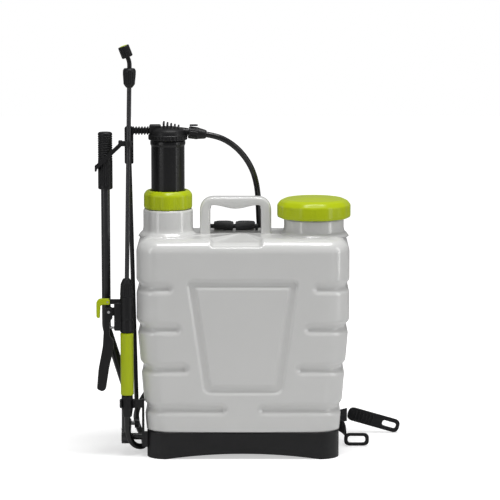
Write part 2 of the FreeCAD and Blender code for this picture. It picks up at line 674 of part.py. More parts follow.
def make_pull_rod():
    """The rod from the arm's socket down to the slotted eye on the crank pin."""
    top = Vector(mm("rod_top_x"), 0, mm("rod_top") + 25.0)
    pin_y, pin_z = crank_pin_spot()
    foot_x, radius = mm("rod_foot_x"), mm("rod_radius")
    low = Vector(foot_x, 0, pin_z + mm("eye_radius") - 1.0)
    rod = Part.makeCylinder(radius, (top - low).Length, low, top - low)
    thick, eye, travel = mm("eye_thick"), mm("eye_radius"), abs(pin_y)
    left = foot_x - thick / 2.0
    plate = capsule(left, thick, eye, travel, pin_z)
    slot = capsule(left - 1.0, thick + 2.0, mm("pin_radius + pin_gap"), travel, pin_z)
    shaped("pull_rod", rod.fuse(plate).cut(slot).removeSplitter())


def capsule(left, thick, radius, travel, height):
    """A flat round-ended block across X, long in Y by the pin's travel."""
    block = Part.makeBox(thick, 2 * travel, 2 * radius, Vector(left, -travel, height - radius))
    ends = [Part.makeCylinder(radius, thick, Vector(left, side * travel, height), Vector(1, 0, 0))
            for side in (-1, 1)]
    return block.fuse(ends).removeSplitter()


def make_hose_nut():
    """The union nut on the lid's right side and its winged clip."""
    tilt = (Vector(0, 1, 0), 97)
    start_x = "pump_x + dome_radius + 4"
    outline = [("hose_radius - 1.6", "0"), ("hose_nut_radius", "0"),
               ("hose_nut_radius", "hose_nut_length * 0.55"),
               ("hose_nut_radius - 3", "hose_nut_length"), ("hose_radius - 1.6", "hose_nut_length")]
    turned("hose_nut", outline, start_x, "0", "hose_nut_height", tilt)
    spigot = [("2", "-2"), ("hose_radius - 1.8", "-2"), ("hose_radius - 1.8", "hose_nut_length"),
              ("2", "hose_nut_length")]
    turned("hose_spigot", spigot, start_x, "0", "hose_nut_height", tilt)
    wing = box("wing", "15", "12", "2.6", "pump_x + dome_radius + 6", "-6",
               "hose_nut_height + hose_nut_radius + 0.4")
    keep(wing, "hose_nut_wing")


# ---------------------------------------------------------------- filler

def make_filler():
    """The lime filler cap with its gasket and the strainer basket in the neck."""
    seat = "filler_top"
    gasket = [("filler_radius - 8", "0"), ("filler_radius - 0.5", "0"),
              ("filler_radius - 0.5", "gasket_thick"), ("filler_radius - 8", "gasket_thick")]
    turned("cap_gasket", gasket, "cap_x", "0", seat + " + basket_wall + fit_gap")
    inner = "cap_radius - cap_wall"
    ceiling = "cap_height - cap_wall"
    cap = [(inner, "0"), ("cap_radius", "0"), ("cap_radius", "cap_height - 7"),
           ("cap_radius - 9", "cap_height - 1.5"), ("cap_radius - 22", "cap_height"),
           ("0", "cap_height"), ("0", ceiling), ("cap_radius - 14", ceiling),
           (inner, "cap_height - 9")]
    turned("filler_cap", cap, "cap_x", "0", seat + " + fit_gap")
    vent = [("0", "0"), ("6", "0"), ("6", "4"), ("3", "4"), ("3", "9"), ("0", "9")]
    turned("vent_valve", vent, "cap_x", "0", seat + " + fit_gap + cap_height - cap_wall - 9")
    wall = "basket_wall"
    rim = [("basket_radius - basket_wall", "-basket_depth + basket_wall"),
           ("basket_radius - basket_wall", wall), ("filler_radius - 1", wall),
           ("filler_radius - 1", "0"), ("basket_radius", "0"), ("basket_radius", "-basket_depth"),
           ("0", "-basket_depth"), ("0", "-basket_depth + basket_wall")]
    turned("strainer_basket", rim, "cap_x", "0", seat)


# ---------------------------------------------------------------- gun and lance

def make_gun_body():
    """The valve body with its handle tube, trigger ears, lock ear and stem housing."""
    outline = [("handle_bore", "88"), ("handle_tube_radius", "88"),
               ("handle_tube_radius", "gun_foot"), ("gun_radius", "gun_foot"),
               ("gun_radius", "gun_top"), ("handle_bore", "gun_top")]
    core = turned("gun_core", outline, "gun_x", "gun_y")
    nodes.pop()
    ear = "2 * ear_half"
    ears = []
    ears.append(box("trigger_ear", "gun_x - gun_radius - hinge_x + 3", ear, "14", "hinge_x",
                    "gun_y - ear_half", "hinge_z - 7"))
    ears.append(cylinder("ear_end", "7", ear, "hinge_x", "gun_y - ear_half", "hinge_z", Y_AXIS))
    ears.append(box("lock_ear", "gun_x - gun_radius - lock_x + 3", ear, "9", "lock_x",
                    "gun_y - ear_half", "lock_z - 4.5"))
    ears.append(cylinder("lock_ear_end", "4.5", ear, "lock_x", "gun_y - ear_half", "lock_z", Y_AXIS))
    ears.append(box("valve_block", "gun_x - gun_radius + 3 - hinge_x - valve_gap", "trigger_width",
                    "51", "hinge_x + valve_gap", "gun_y - trigger_width / 2", "stem_z - 5"))
    ears.append(cylinder("stem_housing", "5", "14", "gun_x - gun_radius - 11", "gun_y", "stem_z",
                         X_AXIS))
    whole = joined("gun_whole", [core] + ears)
    holes = [
        cylinder("trigger_pin_hole", "hinge_pin + snug_gap", "20", "hinge_x", "gun_y - 10",
                 "hinge_z", Y_AXIS),
        cylinder("lock_pin_hole", "hinge_pin - 1 + snug_gap", "20", "lock_x", "gun_y - 10",
                 "lock_z", Y_AXIS),
        cylinder("stem_bore", "stem_radius + 0.4", "24", "gun_x - gun_radius - 12", "gun_y",
                 "stem_z", X_AXIS),
        cylinder("flow_bore", "handle_bore", "gun_top - 86", "gun_x", "gun_y", "87"),
    ]
    keep(carved("gun", whole, holes), "gun_body")
    pins = [cylinder("trigger_hinge_pin", "hinge_pin", "trigger_width + 1", "hinge_x",
                     "gun_y - (trigger_width + 1) / 2", "hinge_z", Y_AXIS),
            cylinder("lock_hinge_pin", "hinge_pin - 1", "trigger_width - 2", "lock_x",
                     "gun_y - (trigger_width - 2) / 2", "lock_z", Y_AXIS)]
    keep(grouped("pins", pins), "gun_pins")


def make_gun_parts():
    """The lime sleeve, the tail nut, the gun filter, the lance nut and the stem's spring."""
    sleeve = [("handle_tube_radius + snug_gap", "0"), ("gun_grip_radius - 1", "0"),
              ("gun_grip_radius", "1.5"), ("gun_grip_radius", "gun_foot - gun_grip_foot - 1.5"),
              ("gun_grip_radius - 1", "gun_foot - gun_grip_foot"),
              ("handle_tube_radius + snug_gap", "gun_foot - gun_grip_foot")]
    turned("gun_grip", sleeve, "gun_x", "gun_y", "gun_grip_foot")
    tall = "gun_grip_foot - tail_foot - 1"
    tail = [("hose_radius - 1.6", "0"), ("tail_radius - 2", "0"), ("tail_radius", "14"),
            ("tail_radius", tall), ("handle_tube_radius + snug_gap", tall),
            ("handle_tube_radius + snug_gap", "14"), ("hose_radius - 1.6", "14")]
    turned("tail_nut", tail, "gun_x", "gun_y", "tail_foot")
    mesh = [("3.6", "0"), ("4.6", "0"), ("4.6", "60"), ("5.8", "60"), ("5.8", "63"), ("3.6", "63")]
    turned("gun_filter", mesh, "gun_x", "gun_y", "gun_grip_foot + 15")
    nut = [("lance_radius + 0.6", "0"), ("gun_radius - 0.5", "0"), ("gun_radius", "4"),
           ("gun_radius - 1.5", "24"), ("lance_radius + 2", "lance_nut_top - gun_top"),
           ("lance_radius + 0.6", "lance_nut_top - gun_top")]
    turned("lance_nut", nut, "gun_x", "gun_y", "gun_top")


def make_stem():
    """The valve stem that the trigger pushes, and its return spring."""
    outline = [("0", "0"), ("stem_radius", "0"), ("stem_radius", "26"), ("3.4", "26"),
               ("3.4", "29"), ("0", "29")]
    turned("valve_stem", outline, "gun_x - gun_radius - 18.6", "gun_y", "stem_z",
           (Vector(0, 1, 0), 90))


def make_trigger():
    """The trigger lever: a swept blade forked round the ear at its hinge."""
    outline = [("-7", "5"), ("-4", "8"), ("4", "8"), ("7", "5"), ("7", "-10"), ("1", "-15"),
               ("1", "-44"), ("8", "-52"), ("8", "-66"), ("0", "-102"), ("-6", "-140"),
               ("-12", "-144"), ("-22", "-140"), ("-19", "-104"), ("-11", "-62"), ("-9", "-30")]
    blade = padded("trigger", "XZ_Plane", outline, "trigger_width",
                   [("0", "0", "hinge_pin + running_gap")], "hinge_x", "gun_y", "hinge_z")
    doc.recompute()
    fork = [("-9", "-8.5"), ("9", "-8.5"), ("9", "10"), ("-9", "10")]
    pocketed(blade, "XZ_Plane", fork, "2 * (ear_half + fit_gap)", "trigger_fork")


def make_lock():
    """The lime catch that hooks over the trigger's hinge end."""
    outline = [("4", "-5"), ("4", "5"), ("-15", "5"), ("-20", "0"), ("-20", "-28"),
               ("-14", "-30"), ("-13", "-8"), ("-10", "-5")]
    hook = padded("trigger_lock", "XZ_Plane", outline, "trigger_width - 3",
                  [("0", "0", "hinge_pin - 1 + running_gap")], "lock_x", "gun_y", "lock_z")
    doc.recompute()
    fork = [("-6", "-6"), ("12", "-6"), ("12", "6"), ("-6", "6")]
    pocketed(hook, "XZ_Plane", fork, "2 * (ear_half + fit_gap)", "lock_fork")


def lance_spot(height):
    """The X and Z offsets of a point on the leaning lance, as formulas."""
    reach = "(%s - gun_top)" % height
    return "gun_x + %s * sin(lance_tilt * 1deg)" % reach, "gun_top + %s * cos(lance_tilt * 1deg)" % reach


def make_lance():
    """The lance tube, its upper nut, the bent neck and the twist nozzle."""
    lean = (Vector(0, 1, 0), mm("lance_tilt"))
    tube = [("lance_radius - 1", "0"), ("lance_radius", "0"),
            ("lance_radius", "lance_top + 14 - gun_top - 6"),
            ("lance_radius - 1", "lance_top + 14 - gun_top - 6")]
    x, z = lance_spot("gun_top + 6")
    turned("lance_tube", tube, x, "gun_y", z, lean)
    nut = [("lance_radius + 0.6", "0"), ("5.5", "0"), ("10", "6"), ("11.5", "22"), ("11.5", "30"),
           ("9.5", "top_nut_height"), ("lance_radius + 0.6", "top_nut_height")]
    x, z = lance_spot("lance_top")
    turned("lance_top_nut", nut, x, "gun_y", z, lean)
    tilt = math.radians(mm("lance_tilt"))
    start = Vector(mm("gun_x") + (mm("lance_top") + 15.0 - mm("gun_top")) * math.sin(tilt),
                   mm("gun_y"), mm("gun_top") + (mm("lance_top") + 15.0 - mm("gun_top")) * math.cos(tilt))
    along = Vector(math.sin(tilt), 0, math.cos(tilt))
    slant = math.radians(mm("nozzle_tilt"))
    aside = Vector(-math.sin(slant), 0, math.cos(slant))
    corner = start + along * 30.0
    end = corner + aside * 11.0
    path = tube_path([start, corner, end], (30.0,))
    shaped("nozzle_neck", tube_along(path, mm("lance_radius"), mm("lance_radius") - 1.2))
    face = (Vector(0, 1, 0), -mm("nozzle_tilt"))
    seat = end - aside * 2.0
    spot = (repr(seat.x), "gun_y", repr(seat.z))
    core = [("0", "2.4"), ("lance_radius + 2", "2.4"), ("lance_radius + 2", "10"), ("0", "10")]
    turned("swirl_core", core, *spot, face)
    cap = [("lance_radius + fit_gap", "0"), ("nozzle_radius", "0"),
           ("nozzle_radius", "nozzle_height"), ("tip_radius + 0.1", "nozzle_height"),
           ("tip_radius + 0.1", "nozzle_height - 2.5"), ("4.3", "nozzle_height - 2.5"),
           ("4.3", "nozzle_height - 6"), ("lance_radius + 2.4", "nozzle_height - 8"),
           ("lance_radius + 2.4", "2"), ("lance_radius + fit_gap", "2")]
    turned("nozzle_cap", cap, *spot, face)
    tip = [("0.8", "nozzle_height - 5.5"), ("4.2", "nozzle_height - 5.5"),
           ("4.2", "nozzle_height - 2.4"), ("tip_radius", "nozzle_height - 2.4"),
           ("tip_radius", "nozzle_height + 0.6"), ("0.8", "nozzle_height + 0.6")]
    turned("nozzle_tip", tip, *spot, face)


def make_lance_clip():
    """The clip on the lance whose arm crosses in front of the lever's grip."""
    height = 562.0
    lance_x = mm("gun_x") + (height - mm("gun_top")) * math.sin(math.radians(mm("lance_tilt")))
    y = mm("gun_y")
    ring = Part.makeCylinder(7.5, 9.0, Vector(lance_x, y, height - 2.0))
    ring = ring.cut(Part.makeCylinder(mm("lance_radius") + 0.15, 11.0, Vector(lance_x, y, height - 3.0)))
    block = Part.makeBox(12.0, 8.0, 9.0, Vector(lance_x - 18.0, y - 1.0, height - 2.0))
    front = shaft_depth() - mm("grip_radius") - 1.0
    reach = Part.makeBox(6.0, front - y, 9.0, Vector(lance_x - 18.0, y, height - 2.0))
    left, right = mm("lever_top_x - grip_radius") - 5.0, lance_x - 14.0
    drop = 44.0
    outline = [Vector(right, front, height + 5.0), Vector(left, front, height + 5.0 - drop),
               Vector(left, front, height - 5.0 - drop), Vector(right, front, height - 5.0)]
    arm = Part.Face(Part.makePolygon(outline + outline[:1])).extrude(Vector(0, -2.6, 0))
    hook = Part.makeBox(3.0, 22.0, 10.0, Vector(left, front - 2.6, height - 5.0 - drop))
    shaped("lance_clip", ring.fuse([block, reach, arm, hook]).removeSplitter())


def make_gun_holder():
    """The bracket on the base that holds the gun's tail in an open ring."""
    x, y, tail = mm("gun_x"), mm("gun_y"), mm("tail_radius")
    low, tall = 90.0, 14.0
    wall_x = -mm("base_width") / 2.0
    foot = Part.makeBox(6.0, 14.0, 26.0, Vector(wall_x - 5.0, -68.0, 18.0))
    corner_x = wall_x - 9.0
    post = Part.makeBox(4.0, 14.0, low + tall - 18.0, Vector(corner_x, -68.0, 18.0))
    arm = Part.makeBox(corner_x - x - tail - 1.0, 8.0, tall, Vector(x + tail + 1.0, y - 4.0, low))
    ring = Part.makeCylinder(tail + 4.0, tall, Vector(x, y, low))
    mouth = tail + mm("fit_gap")
    gap = Part.makeBox(2 * mouth, tail + 6.0, tall + 2.0, Vector(x - mouth, y - tail - 6.0, low - 1.0))
    bore = Part.makeCylinder(mouth, tall + 2.0, Vector(x, y, low - 1.0))
    base_block = Part.Face(rounded_plan(mm("base_width"), mm("base_depth"), mm("base_corner"), 0.0))
    base_block = base_block.extrude(Vector(0, 0, mm("base_height")))
    tank_side = tank_block(-0.5)
    holder = foot.fuse([post, arm, ring]).cut([gap, bore, base_block, tank_side])
    shaped("gun_holder", max(holder.Solids, key=lambda solid: solid.Volume))


# ---------------------------------------------------------------- harness

def ribbon(points, thick, tall):
    """An upright band whose lower edge follows a line of points."""
    rise = Vector(0, 0, tall)
    pieces = []
    for start, end in zip(points, points[1:]):
        a, b = Vector(*start), Vector(*end)
        side = Vector(a.y - b.y, b.x - a.x, 0).normalize() * (thick / 2.0)
        corners = [a - side, b - side, b - side + rise, a - side + rise]
        face = Part.Face(Part.makePolygon(corners + corners[:1]))
        pieces.append(face.extrude(side * 2.0))
        pieces.append(Part.makeCylinder(thick / 2.0, tall, b))
    return pieces[0].fuse(pieces[1:-1]).removeSplitter()


def make_anchor_bar():
    """The bar behind the handle that both shoulder straps loop round, on two posts."""
    left, right = mm("left_strap_x - strap_width / 2") - 12.0, mm("right_strap_x + strap_width / 2") + 5.0
    radius, y, z = mm("bar_radius"), mm("bar_y"), mm("bar_z")
    bar = Part.makeCylinder(radius, right - left, Vector(left, y, z), Vector(1, 0, 0))
    posts = [Part.makeBox(5.0, 10.0, z - mm("tank_top"), Vector(at, y - 5.0, mm("tank_top")))
             for at in (left, right - 5.0)]
    shaped("strap_bar", bar.fuse(posts).removeSplitter())


def strap_pad(label, x):
    """A shoulder pad from the bar over the tank's back edge and down its back."""
    half = mm("strap_width") / 2.0
    thick, y, back = mm("pad_thick"), mm("bar_y"), mm("pad_y")
    z = mm("bar_z")
    loop = Part.makeCylinder(mm("bar_radius + roll_wall"), 2 * half, Vector(x - half, y, z), Vector(1, 0, 0))
    loop = loop.cut(Part.makeCylinder(mm("bar_radius") + 0.3, 2 * half + 2.0,
                                      Vector(x - half - 1.0, y, z), Vector(1, 0, 0)))
    top = mm("tank_top") + 2.0
    bend = back - 8.0
    spine = [Vector(0, y + 6.0, top + thick), Vector(0, bend, top + thick),
             Vector(0, back + thick, top - 18.0), Vector(0, back + thick, mm("pad_foot")),
             Vector(0, back, mm("pad_foot")), Vector(0, back, top - 22.0),
             Vector(0, bend - 3.0, top), Vector(0, y + 6.0, top)]
    face = Part.Face(Part.makePolygon(spine + spine[:1]))
    pad = face.extrude(Vector(2 * half, 0, 0))
    pad.translate(Vector(x - half, 0, 0))
    bore = Part.makeCylinder(mm("bar_radius") + 0.3, 2 * half + 2.0,
                             Vector(x - half - 1.0, y, z), Vector(1, 0, 0))
    shaped(label, pad.fuse(loop).cut(bore).removeSplitter())


def strap_lower(side, x, web_y, run, foot):
    """The ladder buckle, the webbing and its run along the floor to the hook."""
    half, thick = mm("web_width") / 2.0, mm("web_thick")
    pad_foot, back = mm("pad_foot"), mm("pad_y")
    buckle = Part.makeBox(2 * half + 8.0, web_y + thick + 3.0 - back, 30.0,
                          Vector(x - half - 4.0, back, pad_foot - 30.3))
    slot = Part.makeBox(2 * half + 1.0, web_y + thick + 20.0 - back, 8.0,
                        Vector(x - half - 0.5, back - 2.0, pad_foot - 19.0))
    shaped("buckle_" + side, buckle.cut(slot))
    drop = Part.makeBox(2 * half, thick, pad_foot - 30.6 - foot,
                        Vector(x - half, web_y - thick / 2.0, foot))
    floor_run = ribbon([(x - half, web_y, foot)] + run, thick, mm("web_width"))
    shaped("webbing_" + side, drop.fuse(floor_run).removeSplitter())


def make_hooks():
    """The two strap-end hooks that lie on the floor behind the tank's right side."""
    shaped("hook_right", slotted_plate(46.0, 6.0, 24.0, 11.5, 32.0, 12.0, 0.0, 0.0),
           207.0, 20.0, 12.8)
    shaped("hook_left", slotted_plate(100.0, 5.0, 26.0, 12.5, 26.0, 10.0, 30.0, 16.0),
           243.0, 135.0, 24.6)


def slotted_plate(long, thick, tall, corner, slot_long, slot_tall, slot_x, lean):
    """An upright round-cornered plate about the origin with a round-ended slot, leaning down to +X."""
    pieces = []
    for length, width, height, radius, x in ((long, thick, tall, corner, 0.0),
                                             (slot_long, thick + 2.0, slot_tall,
                                              slot_tall / 2.0 - 0.1, slot_x)):
        low = Vector(x - length / 2.0, -width / 2.0, -height / 2.0)
        block = Part.makeBox(length, width, height, low)
        uprights = [edge for edge in block.Edges if edge.BoundBox.YLength > thick / 2.0]
        rounded = block.makeFillet(radius, uprights)
        rounded.rotate(Vector(0, 0, 0), Vector(0, 1, 0), lean)
        pieces.append(rounded)
    return pieces[0].cut(pieces[1])


def make_harness():
    """Both shoulder straps with pads, buckles, webbing and hooks."""
    make_anchor_bar()
    left_x, right_x = mm("left_strap_x"), mm("right_strap_x")
    strap_pad("pad_left", left_x)
    strap_pad("pad_right", right_x)
    left_run = [(60.0, 126.0, 1.0), (120.0, 131.0, 4.0), (160.0, 134.0, 14.0), (192.9, 134.6, 22.5)]
    strap_lower("left", left_x, 124.0, left_run, 1.0)
    right_run = [(70.0, 112.0, 1.0), (112.0, 106.0, 4.0), (148.0, 99.0, 12.0), (174.0, 88.0, 16.0),
                 (187.5, 66.0, 10.0), (188.0, 27.0, 4.0)]
    strap_lower("right", right_x, 113.0, right_run, 1.0)
    make_hooks()


# ---------------------------------------------------------------- hose

UPPER_ROUTE = [(-66.3, 0, 574.2), (-47, 0, 571), (-26, 4, 561), (-8, 10, 546), (7, 17, 527),
               (18, 26, 505), (24, 39, 482), (27, 56, 459), (28, 74, 435), (29, 91, 409),
               (31, 101, 380), (31, 104, 348), (24, 102, 317), (9, 99, 290), (-12, 98, 266),
               (-38, 98, 247), (-60, 98, 236)]
LOWER_ROUTE = [(-60, 98, 236), (-80, 98, 226), (-104, 98, 208), (-124, 99, 182), (-142, 101, 153),
               (-156, 103, 122), (-172, 99, 94), (-188, 84, 72), (-198, 62, 52), (-193, 38, 33),
               (-181.5, 16, 18), (-179, -4, 11), (-180, -24, 9.5), (-190, -40, 12.5),
               (-199, -53.5, 21.5), (-205, -62.5, 36), (-207.5, -66.2, 54), (-207, -66, 72.8)]


def arc_radii(points):
    """The largest tangent arc at each corner: 0.45 of its shorter run."""
    radii = []
    for before, corner, after in zip(points, points[1:], points[2:]):
        come, go = corner - before, after - corner
        turn = come.getAngle(go)
        radii.append(0.45 * min(come.Length, go.Length) / math.tan(turn / 2.0))
    return radii


def make_hose(label, route):
    """One stretch of the delivery hose along its route."""
    points = [Vector(*spot) for spot in route]
    radii = arc_radii(points)
    path = tube_path(points, radii)
    solid = tube_along(path, mm("hose_radius"))
    share = solid.Volume / (math.pi * mm("hose_radius") ** 2 * path.Length)
    print(label, "length %.0f, volume share %.4f" % (path.Length, share))
    print(label, "radii", " ".join("%.0f" % radius for radius in radii))
    shaped(label, solid)


def make_hose_clip():
    """The clip on the tank's back that holds the hose between its two stretches."""
    wall_y = mm("tank_depth") / 2.0
    radius = mm("hose_radius")
    block = Part.makeBox(16.0, 16.0, 22.0, Vector(-68.0, wall_y, 225.0))
    gap = Part.makeBox(18.0, 6.0, 2 * radius - 1.0, Vector(-69.0, 102.0, 236.0 - radius + 0.5))
    aim = Vector(-42, 0, -21)
    bore = Part.makeCylinder(radius + mm("snug_gap"), 60.0, Vector(-30.0, 98.0, 251.0), aim)
    shaped("hose_clip", block.cut([bore, gap]))


# ---------------------------------------------------------------- assembly

def make_all():
    """Build every sub-part."""
    fill_sheet()
    make_tank()
    make_base()
    make_base_screws()
    make_drive_shaft()
    make_lever_crank()
    make_lever()
    make_pump_cylinder()
    make_ring_nut()
    make_chamber()
    make_lid()
    make_arm()
    make_pull_rod()
    make_hose_nut()
    make_filler()
    make_gun_body()
    make_gun_parts()
    make_stem()
    make_trigger()
    make_lock()
    make_lance()
    make_lance_clip()
    make_gun_holder()
    make_harness()
    make_hose("hose_upper", UPPER_ROUTE)
    make_hose("hose_lower", LOWER_ROUTE)
    make_hose_clip()
    doc.recompute()


def check_all():
    """Stop if any object failed or any sub-part isn't a sound solid."""
    for thing in doc.Objects:
        if "Invalid" in thing.State or "Error" in thing.State:
            raise RuntimeError("failed object: %s %s" % (thing.Name, thing.State))
    labels = [part.Label for part in nodes]
    if len(set(labels)) != len(labels):
        raise RuntimeError("two sub-parts share a label")
    for part in nodes:
        if part.Shape.isNull() or not part.Shape.isValid() or not part.Shape.Solids:
            raise RuntimeError("unsound shape: " + part.Label)


def export_all():
    """Write each sub-part to its own STEP file."""
    os.makedirs("parts", exist_ok=True)
    for part in nodes:
        part.Shape.exportStep("parts/%s.step" % part.Label)
    print(len(nodes), "sub-parts written")


make_all()
check_all()
export_all()
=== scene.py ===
"""Looks of a backpack sprayer: moulded tank, pump, lever, gun, lance, hose and harness.

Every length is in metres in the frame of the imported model: +Z up, the floor at Z = 0,
the tank's front panel towards -Y and the pump lever on the -X side.
"""

import json
import logging
import math
from dataclasses import dataclass, field
from enum import Enum
from typing import Callable, Sequence

import bmesh
import bpy
import numpy as np
from mathutils import Matrix, Vector

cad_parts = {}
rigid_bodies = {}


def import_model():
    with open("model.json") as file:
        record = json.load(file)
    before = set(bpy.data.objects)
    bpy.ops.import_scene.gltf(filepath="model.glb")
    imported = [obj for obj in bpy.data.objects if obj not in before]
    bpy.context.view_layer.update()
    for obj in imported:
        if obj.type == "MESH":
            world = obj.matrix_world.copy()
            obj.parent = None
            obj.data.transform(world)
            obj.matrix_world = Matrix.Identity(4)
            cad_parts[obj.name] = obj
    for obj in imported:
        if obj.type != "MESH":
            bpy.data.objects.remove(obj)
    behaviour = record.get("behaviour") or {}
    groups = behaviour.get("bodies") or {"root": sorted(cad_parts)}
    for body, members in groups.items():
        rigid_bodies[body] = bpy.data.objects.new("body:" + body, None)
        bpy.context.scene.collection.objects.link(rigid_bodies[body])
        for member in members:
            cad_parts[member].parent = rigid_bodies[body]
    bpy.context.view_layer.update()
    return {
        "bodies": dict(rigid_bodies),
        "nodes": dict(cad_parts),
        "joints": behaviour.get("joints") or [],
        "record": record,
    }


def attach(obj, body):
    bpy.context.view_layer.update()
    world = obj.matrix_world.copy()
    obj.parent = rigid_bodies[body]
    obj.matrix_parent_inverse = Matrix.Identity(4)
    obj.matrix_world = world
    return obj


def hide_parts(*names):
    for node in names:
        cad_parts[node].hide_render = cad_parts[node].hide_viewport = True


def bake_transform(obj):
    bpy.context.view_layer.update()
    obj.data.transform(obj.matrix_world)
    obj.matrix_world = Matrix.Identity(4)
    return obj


LOG = logging.getLogger("sprayer")
MM = 0.001
TAU = 2.0 * math.pi
Array = np.ndarray


# ------------------------------------------------------------------ curves and surfaces

def soften(points: Sequence[Sequence[float]], radius: float, steps: int = 5,
           closed: bool = False) -> Array:
    """Round the corners of a line of points.

    Each corner is replaced by a quadratic curve that starts and ends `radius` from it,
    or 0.45 of the shorter neighbouring run where that is less.

    Args:
        points: Corner points, in any number of dimensions.
        radius: Distance from the corner at which the curve starts.
        steps: Number of spans in each curve.
        closed: Whether the last point joins the first.

    Returns:
        The rounded line as an array of points.
    """
    corners = np.asarray(points, float)
    if not closed:
        inner = soften(np.vstack([corners, corners[::-1][1:-1]]), radius, steps, True)
        count = (len(corners) - 2) * (steps + 1)
        return np.vstack([corners[:1], inner[steps + 1:steps + 1 + count], corners[-1:]])
    before, after = np.roll(corners, 1, 0), np.roll(corners, -1, 0)
    back, ahead = before - corners, after - corners
    back_length = np.linalg.norm(back, axis=1, keepdims=True)
    ahead_length = np.linalg.norm(ahead, axis=1, keepdims=True)
    reach = np.minimum(radius, 0.45 * np.minimum(back_length, ahead_length))
    start = corners + back / np.maximum(back_length, 1e-9) * reach
    end = corners + ahead / np.maximum(ahead_length, 1e-9) * reach
    share = np.linspace(0.0, 1.0, steps + 1)[None, :, None]
    curve = ((1 - share) ** 2 * start[:, None] + 2 * share * (1 - share) * corners[:, None]
             + share ** 2 * end[:, None])
    return curve.reshape(-1, corners.shape[1])


def even(points: Array, count: int) -> Array:
    """Spread points evenly by length along a line of points.

    Args:
        points: The line, in any number of dimensions.
        count: Number of points wanted, the two ends included.

    Returns:
        The new line.
    """
    runs = np.linalg.norm(np.diff(points, axis=0), axis=1)
    reach = np.concatenate([[0.0], np.cumsum(runs)])
    wanted = np.linspace(0.0, reach[-1], count)
    return np.stack([np.interp(wanted, reach, points[:, axis])
                     for axis in range(points.shape[1])], axis=1)


def smooth_step(low: float, high: float, value: Array) -> Array:
    """Zero below `low`, one above `high`, and 3t^2 - 2t^3 between them."""
    share = np.clip((value - low) / (high - low), 0.0, 1.0)
    return share * share * (3.0 - 2.0 * share)


def unit(vectors: Array) -> Array:
    """Each row's direction: the row over its length."""
    return vectors / np.linalg.norm(vectors, axis=1, keepdims=True)


def filled(profile: Array, count: int, over: float = -1.0) -> Array:
    """Add evenly spread points to the tall spans of a profile.

    Args:
        profile: Points of (radius, height).
        count: Number of points on each tall span, its ends included.
        over: Difference in height past which a span is tall; below zero, all of them are.

    Returns:
        The profile with its added points.
    """
    spans = [even(profile[i:i + 2], count if np.ptp(profile[i:i + 2, 1]) > over else 2)[:-1]
             for i in range(len(profile) - 1)]
    return np.vstack(spans + [profile[-1:]])


def linked(name: str, data: bpy.types.ID) -> bpy.types.Object:
    """Wrap a mesh, a curve, a lamp or a camera in an object and put it in the scene."""
    thing = bpy.data.objects.new(name, data)
    bpy.context.scene.collection.objects.link(thing)
    return thing


def mesh_of_curve(curve: bpy.types.Curve) -> bpy.types.Mesh:
    """The mesh that a curve's own fill and bevel give."""
    maker = linked(curve.name + "_maker", curve)
    bpy.context.view_layer.update()
    graph = bpy.context.evaluated_depsgraph_get()
    mesh = bpy.data.meshes.new_from_object(maker.evaluated_get(graph))
    bpy.data.objects.remove(maker)
    return mesh


def put_mesh(name: str, points: Array, faces: Array) -> bpy.types.Object:
    """Make a smooth mesh object from points and four-sided faces, turned outwards.

    Doubled points, such as those at a pole, are merged.

    Args:
        name: The piece's name.
        points: One row of (x, y, z) for each point.
        faces: One row of four point numbers for each face.

    Returns:
        The mesh object, with its place in its vertices.
    """
    mesh = bpy.data.meshes.new(name)
    mesh.vertices.add(len(points))
    mesh.vertices.foreach_set("co", np.ascontiguousarray(points, np.float32).ravel())
    mesh.loops.add(faces.size)
    mesh.loops.foreach_set("vertex_index", faces.astype(np.int32).ravel())
    mesh.polygons.add(len(faces))
    mesh.polygons.foreach_set("loop_start", np.arange(0, faces.size, 4, dtype=np.int32))
    mesh.update(calc_edges=True)
    work = bmesh.new()
    work.from_mesh(mesh)
    bmesh.ops.remove_doubles(work, verts=work.verts, dist=2e-6)
    bmesh.ops.recalc_face_normals(work, faces=work.faces)
    work.to_mesh(mesh)
    work.free()
    mesh.shade_smooth()
    return linked(name, mesh)


def grid_faces(rows: int, columns: int, along: bool = False) -> Array:
    """Number the four-sided faces of a grid of points.

    Args:
        rows: Number of rows of points.
        columns: Number of points in a row.
        along: Whether the last row joins the first; each row's end always joins its start.

    Returns:
        Four point numbers for each face.
    """
    row = np.arange(rows if along else rows - 1)[:, None]
    column = np.arange(columns)[None, :]
    next_row, next_column = (row + 1) % rows, (column + 1) % columns
    return np.stack([row * columns + column, row * columns + next_column,
                     next_row * columns + next_column, next_row * columns + column],
                    axis=-1).reshape(-1, 4)


def skin(name: str, points: Array, along: bool = False) -> bpy.types.Object:
    """Make a closed tube-like surface through rings of points.

    Args:
        name: The piece's name.
        points: The rings, as rows of (x, y, z) points.
        along: Whether the last ring joins the first; if not, both ends close at their middles.

    Returns:
        The mesh object.
    """
    if not along:
        first = np.repeat(points[:1].mean(axis=1, keepdims=True), points.shape[1], axis=1)
        last = np.repeat(points[-1:].mean(axis=1, keepdims=True), points.shape[1], axis=1)
        points = np.concatenate([first, points, last])
    rows, columns = points.shape[:2]
    return put_mesh(name, points.reshape(-1, 3), grid_faces(rows, columns, along))


Ripple = Callable[[Array, Array, Array], Array]


